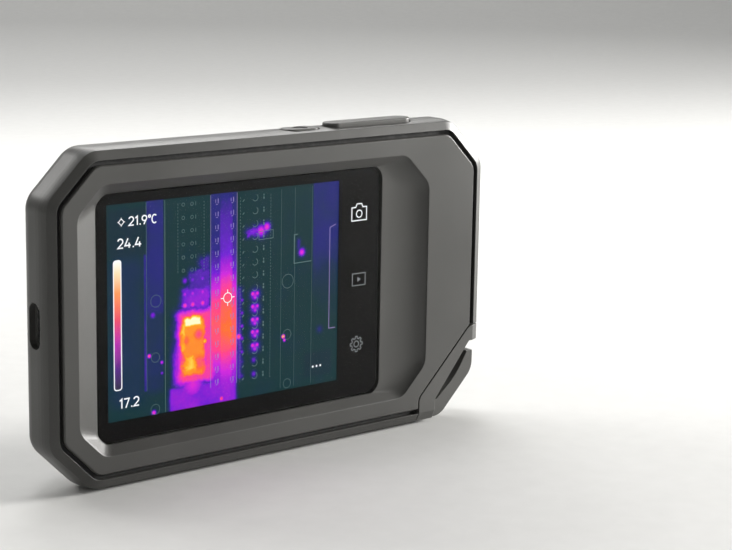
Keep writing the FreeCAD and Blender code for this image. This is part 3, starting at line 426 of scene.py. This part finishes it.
def thermal_picture(name):
    """The lit panel."""
    g = Graph(name)
    heat = Heat(g)
    for part in (cool_columns, warm_rail, hot_block, contacts, loose_spots):
        part(heat)
    grainy = g.noise(g.position(), 1700.0, detail=2.0)
    patchy = g.noise(g.position(), 120.0, detail=3.0)
    drift = g.math(
        "ADD", g.spread(grainy, 0.25, 0.75, -0.012, 0.012), g.spread(patchy, 0.3, 0.7, -0.03, 0.03),
    )
    total = g.math("ADD", heat.total, drift)
    colour = g.ramp(total, HEAT_STOPS)
    # the panel dims behind the readings and the menu dots
    behind_readings = heat.block(-35, -23.4, 13.6, 25.3, 0.8)
    behind_dots = heat.block(24.6, 33.6, -24.4, -17.8, 0.8)
    shade = g.math("MAXIMUM", behind_readings, behind_dots)
    colour = g.mix(g.math("MULTIPLY", shade, 0.4), colour, (0.006, 0.014, 0.04, 1))
    half_w, half_h = ACTIVE_WIDTH / MM / 2, ACTIVE_HEIGHT / MM / 2
    lit = heat.block(-half_w, half_w, -half_h, half_h, 0.02)
    front = g.spread(heat.depth, PANEL_FRONT + 0.02 * MM, PANEL_FRONT + 0.04 * MM, 1.0, 0.0)
    shown = g.math("MULTIPLY", lit, front)
    smear = g.noise(g.position(), 70.0, detail=4.0)
    g.set({
        "Base Color": (0.0015, 0.0018, 0.002, 1),
        "Roughness": g.spread(smear, 0.35, 0.75, 0.03, 0.09),
        "Specular IOR Level": PANEL_GLOSS,
        "Emission Color": g.mix(shown, grey(0.0), colour),
        "Emission Strength": 1.0,
    })
    return g.material


def glowing(name, colour, strength):
    """Lit marks of the display; the noise is the panel's own slight unevenness."""
    g = Graph(name)
    uneven = g.noise(g.position(), 500.0)
    shade = g.mix(g.spread(uneven, 0.3, 0.7), scaled(colour, 0.92), colour)
    g.set({
        "Base Color": grey(0.01), "Roughness": 0.4,
        "Emission Color": shade, "Emission Strength": strength,
    })
    return g.material


def scale_gradient(name, low, high):
    """False colours from cold at the bottom to hot at the top of the scale bar."""
    g = Graph(name)
    height = g.add("ShaderNodeSeparateXYZ", {"Vector": g.position()}).outputs["Z"]
    colour = g.ramp(g.spread(height, low, high), (
        (0.0, (0.004, 0.004, 0.03, 1)), (0.16, (0.07, 0.0, 0.2, 1)), (0.36, (0.45, 0.0, 0.4, 1)),
        (0.55, (0.85, 0.06, 0.12, 1)), (0.75, (1.0, 0.3, 0.08, 1)), (0.9, (1.0, 0.75, 0.45, 1)),
        (1.0, (1.0, 1.0, 0.95, 1)),
    ))
    g.set({
        "Base Color": grey(0.01), "Roughness": 0.4,
        "Emission Color": colour, "Emission Strength": 1.0,
    })
    return g.material


# ---------------------------------------------------------------- mesh helpers

def make_object(name, mesh, material, body="case", smooth=False):
    """One visible piece that rides on a body."""
    piece = bpy.data.objects.new(name, mesh)
    bpy.context.scene.collection.objects.link(piece)
    piece.data.materials.append(material)
    if smooth:
        for face in mesh.polygons:
            face.use_smooth = True
    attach(piece, body)
    return piece


def from_bmesh(name, bm, material, **options):
    bmesh.ops.recalc_face_normals(bm, faces=bm.faces)
    mesh = bpy.data.meshes.new(name)
    bm.to_mesh(mesh)
    bm.free()
    return make_object(name, mesh, material, **options)


def rounded_rectangle(left, right, low, high, radius, steps=10):
    """Points of a rounded rectangle in X and Z, anticlockwise seen from the display side."""
    points = []
    corners = ((right - radius, low + radius, -90), (right - radius, high - radius, 0),
               (left + radius, high - radius, 90), (left + radius, low + radius, 180))
    for x, z, start in corners:
        for i in range(steps + 1):
            angle = math.radians(start + 90.0 * i / steps)
            points.append((x + radius * math.cos(angle), z + radius * math.sin(angle)))
    return points


def inset_rectangle(low, high, inset, radius):
    """Rounded rectangle of a box's outline, drawn in by the inset."""
    return rounded_rectangle(low.x + inset, high.x - inset, low.z + inset, high.z - inset, radius - inset)


def circle(x, z, radius, steps):
    """Evenly spaced points of a circle."""
    angles = [math.tau * i / steps for i in range(steps)]
    return [(x + radius * math.cos(angle), z + radius * math.sin(angle)) for angle in angles]


def loop_of(bm, points, y):
    """Vertices of one closed outline at a depth."""
    return [bm.verts.new((x, y, z)) for x, z in points]


def bridge(bm, first, second):
    """Faces between two closed outlines of as many points."""
    count = len(first)
    for i in range(count):
        j = (i + 1) % count
        bm.faces.new((first[i], first[j], second[j], second[i]))


class Marks:
    """Flat lit marks on one plane: strokes, rings and filled shapes in one mesh."""

    def __init__(self, y, origin_x, origin_z):
        self.bm = bmesh.new()
        self.y = y
        self.origin = (origin_x, origin_z)

    def vertex(self, x, z):
        return self.bm.verts.new((self.origin[0] + x * MM, self.y, self.origin[1] + z * MM))

    def stroke(self, points, width, closed=False):
        """Line of even width through points; its corners are mitred."""
        count = len(points)
        left, right = [], []
        for i, (x, z) in enumerate(points):
            before = points[i - 1] if closed or i > 0 else None
            after = points[(i + 1) % count] if closed or i < count - 1 else None
            here = Vector((x, z))
            into = (here - Vector(before)).normalized() if before else (Vector(after) - here).normalized()
            out = (Vector(after) - here).normalized() if after else into
            side = Vector((-(into.y + out.y), into.x + out.x)).normalized()
            reach = width / 2 / max(0.4, side.dot(Vector((-into.y, into.x))))
            left.append(self.vertex(x + side.x * reach, z + side.y * reach))
            right.append(self.vertex(x - side.x * reach, z - side.y * reach))
        for i in range(count if closed else count - 1):
            j = (i + 1) % count
            self.bm.faces.new((left[i], left[j], right[j], right[i]))

    def ring(self, x, z, radius, width, steps=40):
        self.stroke(circle(x, z, radius, steps), width, closed=True)

    def disc(self, x, z, radius, steps=20):
        self.fill(circle(x, z, radius, steps))

    def fill(self, points):
        self.bm.faces.new([self.vertex(x, z) for x, z in points])

    def finish(self, name, material):
        mesh = bpy.data.meshes.new(name)
        self.bm.to_mesh(mesh)
        self.bm.free()
        return make_object(name, mesh, material)


# ---------------------------------------------------------------- display pieces

def build_cover_glass():
    """Polished cover glass with a bevelled edge, and the black border printed under it."""
    low, high = glass_low, glass_high
    bevel = 0.18 * MM
    radius = 3.5 * MM
    bm = bmesh.new()
    full = rounded_rectangle(low.x, high.x, low.z, high.z, radius)
    inner = inset_rectangle(low, high, bevel, radius)
    front = loop_of(bm, inner, low.y)
    edge = loop_of(bm, full, low.y + bevel)
    back = loop_of(bm, full, GLASS_BACK)
    bm.faces.new(front)
    bridge(bm, front, edge)
    bridge(bm, edge, back)
    bm.faces.new(back)
    glass = from_bmesh("cover_glass", bm, clear_glass("cover_glass_clear", index=1.04))
    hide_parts("display_glass")

    bm = bmesh.new()
    half_w, half_h = ACTIVE_WIDTH / 2, ACTIVE_HEIGHT / 2
    print_front = GLASS_BACK + 0.02 * MM
    print_back = print_front + 0.08 * MM
    outline = inset_rectangle(low, high, 0.25 * MM, radius)
    opening = rounded_rectangle(
        active_centre.x - half_w, active_centre.x + half_w,
        active_centre.z - half_h, active_centre.z + half_h, 0.15 * MM,
    )
    rings = [
        loop_of(bm, outline, print_front), loop_of(bm, opening, print_front),
        loop_of(bm, opening, print_back), loop_of(bm, outline, print_back),
    ]
    for first, second in zip(rings, rings[1:] + rings[:1]):
        bridge(bm, first, second)
    border = from_bmesh("glass_border", bm, gloss_black("border_black", 0.0012, 0.04, PANEL_GLOSS))


def arc(x, z, half_width, half_height, start, end, steps=12):
    """Points along part of an ellipse; angles in degrees."""
    points = []
    for i in range(steps + 1):
        angle = math.radians(start + (end - start) * i / steps)
        points.append((x + half_width * math.cos(angle), z + half_height * math.sin(angle)))
    return points


# Numerals of unit height as strokes, each after the distance to the next character.
NUMERALS = {
    "1": (0.52, [[(0.02, 0.78), (0.28, 0.97), (0.28, 0.0)]]),
    "2": (0.84, [arc(0.33, 0.69, 0.30, 0.28, 165, -38) + [(0.05, 0.05), (0.66, 0.05)]]),
    "4": (0.90, [[(0.40, 0.97), (0.04, 0.25), (0.72, 0.25)], [(0.53, 0.52), (0.53, 0.0)]]),
    "7": (0.82, [[(0.03, 0.94), (0.64, 0.94), (0.24, 0.0)]]),
    "9": (0.84, [arc(0.34, 0.68, 0.30, 0.28, -20, 339, 20), [(0.62, 0.60), (0.26, 0.0)]]),
    ".": (0.34, [[(0.12, 0.0), (0.12, 0.15)]]),
    "°": (0.44, [arc(0.17, 0.83, 0.13, 0.13, 0, 359, 14)]),
    "C": (0.80, [arc(0.38, 0.49, 0.33, 0.46, 48, 312, 18)]),
}


def write_reading(marks, text, left, base, height):
    """Numerals in a row, from their left end and base line."""
    pen = 0.15 * height
    for character in text:
        advance, strokes = NUMERALS[character]
        for points in strokes:
            marks.stroke([(left + x * height, base + z * height) for x, z in points], pen)
        left += advance * height


def build_picture_lines(plane):
    """Outlines and small contact marks that the camera draws over the heat picture."""
    rows = [TOP_CONTACT - PITCH * i for i in range(CONTACTS)]
    pale = Marks(plane, active_centre.x, active_centre.z)
    for x in (-5.2, 2.85):
        pale.stroke([(x, -22.5), (x, 26.4)], 0.12)
    for z in rows:
        for x in (-3.3, 1.4):
            pale.stroke([(x - 0.4, z - 0.45), (x - 0.4, z + 0.45)], 0.16)
            pale.stroke([(x + 0.35, z - 0.6), (x + 0.35, z + 0.6)], 0.22)
            pale.stroke([(x - 0.3, z - 0.85), (x + 0.25, z - 0.85)], 0.14)
    pale.stroke([(34.6, 15.3), (32.7, 14.6), (32.7, -12.2), (34.8, -12.2)], 0.2)
    violet = glowing("marks_violet", (0.42, 0.32, 0.8, 1), 0.6)
    pale.finish("picture_marks", violet)

    dim_lines = Marks(plane + 0.005 * MM, active_centre.x, active_centre.z)
    dim_lines.stroke([(-18.8, -26.5), (-18.8, 26.4)], 0.16)
    dim_lines.stroke([(-24.2, -20.4), (-24.2, 26.4)], 0.1)
    for x in (16.8, 21.2, 26.8):
        dim_lines.stroke([(x, -26.0), (x, 26.0)], 0.07)
    # housing of the terminal block: dashed outlines and rows of contact marks
    dash = 0.8
    for x, low in ((13.4, -22.5), (3.9, -22.5), (-15.0, 8.0), (-7.2, 8.0)):
        for i in range(int((26.0 - low) / dash)):
            dim_lines.stroke([(x, low + dash * i), (x, low + dash * (i + 0.5))], 0.14)
    for z in rows:
        if z > 7:
            for x in (-13.4, -10.8):
                dim_lines.ring(x, z, 0.42, 0.13, 10)
            dim_lines.stroke([(-9.7, z - 0.5), (-9.7, z + 0.5)], 0.16)
        dim_lines.stroke(arc(8.5, z - 0.2, 0.85, 0.85, -150, 60, 10), 0.16)
        dim_lines.stroke([(4.6, z - 0.9), (5.1, z - 0.4)], 0.24)
        dim_lines.stroke([(11.2, z - 0.75), (11.2, z - 0.15)], 0.42)
        dim_lines.stroke([(11.2, z + 0.1), (11.2, z + 0.55)], 0.34)
    dim_lines.stroke([(9.7, 15.8), (14.2, 15.9), (14.2, 13.8), (9.7, 13.7)], 0.16, closed=True)
    dim_lines.stroke([(22.2, 13.9), (21.0, 13.9), (21.0, 6.4), (26.6, 6.5)], 0.22)
    for x, z, radius in (
        (-21.5, 1.8, 1.5), (-21.7, -12.3, 1.2), (19.0, 2.0, 1.8), (18.9, -12.0, 1.3),
        (19.0, -25.0, 1.2), (-21.8, -25.4, 1.3),
    ):
        dim_lines.ring(x, z, radius, 0.11, 28)
    teal = glowing("marks_teal", (0.10, 0.26, 0.26, 1), 0.55)
    dim_lines.finish("picture_outlines", teal)


def capture_icon(icons, cx, cz):
    """Still camera: body with a hump, and its lens."""
    pen = 0.3
    icons.stroke([
        (cx - 2.5, cz - 1.9), (cx + 2.5, cz - 1.9), (cx + 2.5, cz + 1.6), (cx + 1.2, cz + 1.6),
        (cx + 0.8, cz + 2.5), (cx - 0.8, cz + 2.5), (cx - 1.2, cz + 1.6), (cx - 2.5, cz + 1.6),
    ], pen, closed=True)
    icons.ring(cx, cz - 0.15, 0.95, pen)


def gallery_icon(icons, cx, cz, pen):
    """Frame with a play mark."""
    half_w, half_h = 2.2, 1.6
    icons.stroke([
        (cx - half_w, cz - half_h), (cx + half_w, cz - half_h),
        (cx + half_w, cz + half_h), (cx - half_w, cz + half_h),
    ], pen, closed=True)
    icons.fill([(cx - 0.45, cz - 0.65), (cx + 0.65, cz), (cx - 0.45, cz + 0.65)])


def settings_icon(icons, cx, cz, pen):
    """Toothed wheel."""
    teeth, root, tip = 8, 1.55, 2.1
    rim = []
    for i in range(teeth):
        for offset, reach in ((-0.30, root), (-0.19, tip), (0.19, tip), (0.30, root)):
            angle = math.tau * (i + offset) / teeth
            rim.append((cx + reach * math.cos(angle), cz + reach * math.sin(angle)))
    icons.stroke(rim, pen, closed=True)
    icons.ring(cx, cz, 0.8, pen)


def build_icons(white, faint):
    """Touch icons on the border, right of the picture: capture is lit, the others are faint."""
    plane = GLASS_BACK + 0.01 * MM
    icons = Marks(plane, active_centre.x, active_centre.z)
    capture_icon(icons, 42.3, 17.5)
    icons.finish("icon_capture", white)
    icons = Marks(plane, active_centre.x, active_centre.z)
    pen = 0.22
    gallery_icon(icons, 42.5, -0.2, pen)
    settings_icon(icons, 42.0, -17.7, pen)
    icons.finish("icons_side", faint)


def build_screen_marks():
    """Crosshair, readings, scale bar and menu dots on the picture, and the icons beside it."""
    white = glowing("mark_white", (0.95, 0.97, 1.0, 1), 1.0)
    faint = glowing("mark_faint", (0.42, 0.45, 0.48, 1), 0.5)
    plane = PANEL_FRONT - 0.06 * MM
    compass = ((1, 0), (0, 1), (-1, 0), (0, -1))
    marks = Marks(plane, active_centre.x, active_centre.z)
    # crosshair in the middle
    cross_radius, cross_reach, cross_pen = 1.25, 2.1, 0.22
    marks.ring(0, 0, cross_radius, cross_pen)
    for x, z in compass:
        marks.stroke([(x * cross_radius, z * cross_radius), (x * cross_reach, z * cross_reach)], cross_pen)
    # small spot symbol before the reading
    spot_x, spot_z, spot_size = -31.3, 22.2, 0.8
    marks.stroke([(spot_x + x * spot_size, spot_z + z * spot_size) for x, z in compass], 0.2, closed=True)
    for x, z in compass:
        near, far = spot_size, 1.35 * spot_size
        marks.stroke([(spot_x + x * near, spot_z + z * near), (spot_x + x * far, spot_z + z * far)], 0.16)
    # outline of the scale bar with round corners
    left, right, low, high = -33.6, -31.5, -18.9, 13.0
    corner = 0.7
    marks.stroke(rounded_rectangle(left, right, low, high, corner, 5), 0.28, closed=True)
    # menu dots
    for i in range(3):
        marks.disc(27.5 + 1.25 * i, -21.8, 0.3)
    write_reading(marks, "21.9°C", -29.2, 21.1, 2.2)
    write_reading(marks, "24.4", -32.4, 15.8, 2.4)
    write_reading(marks, "17.2", -32.2, -23.6, 2.4)
    marks.finish("screen_marks", white)

    bar = Marks(plane + 0.01 * MM, active_centre.x, active_centre.z)
    inset = 0.12
    bar.fill([
        (left + inset, low + inset), (right - inset, low + inset),
        (right - inset, high - inset), (left + inset, high - inset),
    ])
    bottom, top = active_centre.z + low * MM, active_centre.z + high * MM
    bar.finish("scale_bar", scale_gradient("scale_colours", bottom, top))

    build_picture_lines(plane + 0.02 * MM)
    build_icons(white, faint)


# ---------------------------------------------------------------- optics on the back

def lathe(name, centre, profile, material, steps=64):
    """Surface of revolution about an axis along Y; the profile is (radius, y) in millimetres."""
    bm = bmesh.new()
    rings = []
    for radius, y in profile:
        if radius == 0:
            rings.append([bm.verts.new((centre.x, y * MM, centre.z))])
            continue
        rings.append(loop_of(bm, circle(centre.x, centre.z, radius * MM, steps), y * MM))
    for first, second in zip(rings, rings[1:]):
        for i in range(steps):
            j = (i + 1) % steps
            if len(first) == 1:
                bm.faces.new((first[0], second[j], second[i]))
            elif len(second) == 1:
                bm.faces.new((first[i], first[j], second[0]))
            else:
                bm.faces.new((first[i], first[j], second[j], second[i]))
    return from_bmesh(name, bm, material, smooth=True)


def build_camera_optics():
    """Stepped black baffles and a small domed lens behind the visible-light camera's window."""
    centre = middle_of("camera_window")
    baffle = lathe("camera_baffle", centre, (
        (3.05, 6.98), (3.0, 7.02), (2.75, 7.0), (2.7, 6.9), (2.45, 6.86), (2.4, 6.72), (2.05, 6.68),
        (2.0, 6.56), (1.7, 6.5), (1.6, 6.3), (1.35, 6.22), (1.3, 6.1), (3.02, 6.08), (3.05, 6.98),
    ), gloss_black("baffle_black", 0.012, 0.3))
    lens_radius, lens_back, lens_base, dome_height = 1.28, 6.12, 6.2, 0.5
    spread, steps = math.radians(62.0), 8
    dome = []
    for i in range(steps + 1):
        angle = spread * i / steps
        radius = lens_radius * math.sin(angle) / math.sin(spread)
        dome.append((radius, lens_base + dome_height * math.cos(angle)))
    dome += [(lens_radius, lens_back), (0, lens_back)]
    pupil = lathe("camera_lens", centre, dome, gloss_black("lens_black", 0.002, 0.03, specular=0.9))


def build_lamp_die(phosphor):
    """Light-emitting die: a square of yellow phosphor with a bevelled top, on its package."""
    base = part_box("led_emitter")[0].y / MM
    centre = middle_of("led_emitter")
    bm = bmesh.new()
    rings = []
    for half, y in ((0.9, base), (0.9, 5.0), (0.82, 5.12), (0.7, 5.15)):
        points = rounded_rectangle(
            centre.x - half * MM, centre.x + half * MM, centre.z - half * MM, centre.z + half * MM,
            0.2 * half * MM, 4,
        )
        rings.append(loop_of(bm, points, y * MM))
    bm.faces.new(rings[0])
    for first, second in zip(rings, rings[1:]):
        bridge(bm, first, second)
    bm.faces.new(rings[-1])
    die = from_bmesh("lamp_phosphor_die", bm, phosphor)
    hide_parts("led_emitter")


def build_lamp_cup():
    """White reflector that narrows from the lamp's lens to its die."""
    mouth = middle_of("led_lens")
    mouth.y = 6.3 * MM
    mouth.z -= 0.9 * MM
    floor = middle_of("led_emitter")
    floor.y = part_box("led_emitter")[0].y + 0.5 * MM
    mouth_radius, narrowing = 2.6, 1.1
    g = Graph("reflector_white")
    dust = g.noise(g.position(), 900.0, detail=3.0)
    g.set({
        "Base Color": g.mix(dust, (0.4, 0.38, 0.33, 1), (0.5, 0.48, 0.42, 1)),
        "Roughness": g.spread(dust, 0.3, 0.7, 0.25, 0.4),
    })
    bm = bmesh.new()
    rings = []
    for down in (0.0, 0.25, 0.5, 0.75, 1.0):
        radius = (mouth_radius - narrowing * down ** 0.8) * MM
        at = mouth.lerp(floor, down)
        rings.append(loop_of(bm, circle(at.x, at.z, radius, 48), at.y))
    for first, second in zip(rings, rings[1:]):
        bridge(bm, first, second)
    bm.faces.new(rings[-1])
    cup = from_bmesh("lamp_reflector", bm, g.material, smooth=True)


# ---------------------------------------------------------------- materials of the CAD nodes

def dress_nodes():
    """Each CAD node that stays visible gets its own procedural material."""
    housing = moulded_plastic("housing_plastic", (0.050, 0.0495, 0.0465, 1), roughness=0.38, grain=0.2)
    bezel = moulded_plastic("bezel_plastic", (0.056, 0.0555, 0.0525, 1), roughness=0.36, grain=0.16)
    bracket = moulded_plastic("bracket_plastic", (0.068, 0.0675, 0.064, 1), roughness=0.36, grain=0.14)
    button = moulded_plastic("button_plastic", (0.075, 0.0745, 0.0705, 1), roughness=0.33, grain=0.12)
    insert = moulded_plastic("insert_plastic", (0.036, 0.036, 0.034, 1), roughness=0.42, grain=0.12)
    plate = moulded_plastic("lens_plate_plastic", (0.056, 0.056, 0.053, 1), roughness=0.4, grain=0.1)
    steel = metal("bright_steel", (0.6, 0.6, 0.61, 1))
    can = metal("tinned_steel", (0.66, 0.65, 0.62, 1), roughness=0.35, brushed=(1.0, 1.0, 8.0))
    chip = speckled("chip_epoxy", (0.02, 0.02, 0.022, 1), 0.55)
    board = speckled("solder_mask", (0.015, 0.1, 0.04, 1), 0.3, scale=300.0)
    nylon = speckled("connector_nylon", (0.7, 0.67, 0.58, 1), 0.5)
    foam = speckled("foam_black", (0.02, 0.02, 0.02, 1), 0.9, scale=2500.0, contrast=0.6)
    pouch = metal("pouch_foil", (0.7, 0.71, 0.74, 1), roughness=0.4, brushed=(1.0, 1.0, 1.0))
    film = speckled("polyimide", (0.42, 0.17, 0.03, 1), 0.25, scale=200.0, contrast=0.15)
    sleeve = speckled("lead_sleeve", (0.02, 0.02, 0.02, 1), 0.5)
    rubber = black_rubber("seal_rubber")
    trim = gloss_black("camera_trim_black", 0.03, 0.2)
    smoky = speckled("lamp_smoky", (0.27, 0.262, 0.245, 1), 0.26, scale=250.0, contrast=0.12)
    lens = clear_glass("lamp_lens_clear", 1.3, 0.02, (0.9, 0.88, 0.82, 1))
    window = clear_glass("camera_window_clear", 1.2, 0.0, (0.5, 0.52, 0.55, 1))
    wanted = {
        "rear_housing": housing, "front_bezel": bezel, "lanyard_bracket": bracket,
        "save_button": button, "power_button": button, "case_gasket": rubber,
        "lens_surround": insert, "lens_panel": plate, "window_gasket": rubber,
        "thermal_window": coated_window("thermal_window_green"), "camera_ring": trim,
        "camera_window": window, "led_window": smoky, "led_lens": lens,
        "led_board": board, "usb_c_shell": steel, "usb_c_tongue": chip, "display_tape": foam,
        "lcd_module": thermal_picture("thermal_picture"), "display_frame": steel,
        "save_plunger": nylon, "power_plunger": nylon, "save_switch": chip, "power_switch": chip,
        "button_board": board, "main_pcb": board, "processor": chip, "memory_chip": chip,
        "wifi_module": can, "battery_header": nylon, "core_socket": chip, "shield_can": can,
        "thermal_core": can, "thermal_lens": trim, "shutter_frame": chip, "shutter_motor": can,
        "shutter_blade": steel, "camera_module": trim, "battery_cell": pouch, "battery_pad": foam,
        "battery_plug": nylon, "wifi_antenna": film, "pcb_screws": steel, "frame_screws": steel,
        "lanyard_screws": steel, "battery_lead": sleeve, "antenna_cable": sleeve,
        "display_flex": film,
    }
    for name, material in wanted.items():
        if not nodes[name].material_slots:
            nodes[name].data.materials.append(material)
        for slot in nodes[name].material_slots:
            slot.material = material


# ---------------------------------------------------------------- stage, light and camera

def build_stage():
    """Round pale floor whose rim curves up into a wall all about."""
    g = Graph("studio_paper")
    fibre = g.noise(g.position(), 140.0, detail=5.0)
    g.set({
        "Base Color": g.mix(fibre, (0.60, 0.60, 0.59, 1), (0.66, 0.66, 0.65, 1)),
        "Roughness": 0.9,
    })
    flat_radius, bend, bend_steps, wall_top, drop = 1.6, 0.8, 12, 3.0, 0.4 * MM
    profile = [(flat_radius, 0.0)]
    for i in range(1, bend_steps + 1):
        angle = math.radians(90.0 * i / bend_steps)
        profile.append((flat_radius + bend * math.sin(angle), bend - bend * math.cos(angle)))
    profile.append((flat_radius + bend, wall_top))
    bm = bmesh.new()
    rings = [
        [bm.verts.new((x, y, height - drop)) for x, y in circle(0.0, 0.0, radius, 96)]
        for radius, height in profile
    ]
    bm.faces.new(rings[0])
    for inner, outer in zip(rings, rings[1:]):
        bridge(bm, inner, outer)
    bmesh.ops.recalc_face_normals(bm, faces=bm.faces)
    mesh = bpy.data.meshes.new("studio_floor")
    bm.to_mesh(mesh)
    bm.free()
    for face in mesh.polygons:
        face.use_smooth = True
    mesh.materials.append(g.material)
    floor = bpy.data.objects.new("studio_floor", mesh)
    bpy.context.scene.collection.objects.link(floor)


def soft_box(name, place, target, width, height, power, colour=(1, 1, 1)):
    """Rectangular light at a place, turned towards its target."""
    light = bpy.data.lights.new(name, "AREA")
    light.shape = "RECTANGLE"
    light.size, light.size_y = width, height
    light.energy = power
    light.color = colour
    lamp = bpy.data.objects.new(name, light)
    lamp.location = place
    lamp.rotation_euler = (Vector(target) - Vector(place)).to_track_quat("-Z", "Y").to_euler()
    bpy.context.scene.collection.objects.link(lamp)


def build_lights():
    """Soft boxes behind and above, at the right of the display and on the wall; a wide lamp high up."""
    middle = (0.0, 0.0, CENTRE_HEIGHT)
    warm = (1.0, 0.99, 0.97)
    soft_box("back_left", (-0.28, 0.52, 0.46), middle, 0.3, 0.22, 1.5, warm)
    soft_box("back_right", (0.34, 0.5, 0.5), middle, 0.45, 0.18, 2.0, warm)
    soft_box("right_front", (1.0, -0.36, 0.28), middle, 0.36, 0.34, 24.0, (1.0, 0.985, 0.96))
    soft_box("backdrop", (0.1, 0.6, 1.3), (1.0, 1.2, 0.1), 0.9, 0.5, 8.0)
    data = bpy.data.lights.new("room", "POINT")
    data.energy = 30.0
    data.shadow_soft_size = 0.45
    room = bpy.data.objects.new("room", data)
    room.location = (0.15, 0.35, 1.9)
    bpy.context.scene.collection.objects.link(room)
    world = bpy.data.worlds.new("studio_world")
    world.use_nodes = True
    world.node_tree.nodes["Background"].inputs["Color"].default_value = (0.92, 0.95, 1.0, 1)
    world.node_tree.nodes["Background"].inputs["Strength"].default_value = 0.06
    bpy.context.scene.world = world
    bpy.context.scene.view_settings.view_transform = "Standard"


def build_camera():
    """Viewing angle: from the left of the display and a little above, with a slight roll."""
    yaw, pitch, roll = math.radians(40.16), math.radians(11.27), math.radians(0.97)
    place = Vector((-295.5 * MM, -394.2 * MM, 101.9 * MM + CENTRE_HEIGHT))
    ahead_level = Vector((math.sin(yaw), math.cos(yaw), 0))
    right_level = Vector((math.cos(yaw), -math.sin(yaw), 0))
    up = Vector((0, 0, 1))
    ahead = ahead_level * math.cos(pitch) - up * math.sin(pitch)
    up_level = ahead_level * math.sin(pitch) + up * math.cos(pitch)
    right = right_level * math.cos(roll) + up_level * math.sin(roll)
    upward = -right_level * math.sin(roll) + up_level * math.cos(roll)
    data = bpy.data.cameras.new("camera")
    data.sensor_width = 36.0
    data.lens = 95.5
    data.clip_start = 0.01
    camera = bpy.data.objects.new("camera", data)
    turn = Matrix((right, upward, -ahead)).transposed()
    camera.matrix_world = Matrix.Translation(place) @ turn.to_4x4()
    bpy.context.scene.collection.objects.link(camera)
    bpy.context.scene.camera = camera


dress_nodes()
build_cover_glass()
build_screen_marks()
build_camera_optics()
build_lamp_die(glowing("lamp_phosphor", (0.9, 0.72, 0.32, 1), 0.55))
build_lamp_cup()
build_stage()
build_lights()
build_camera()
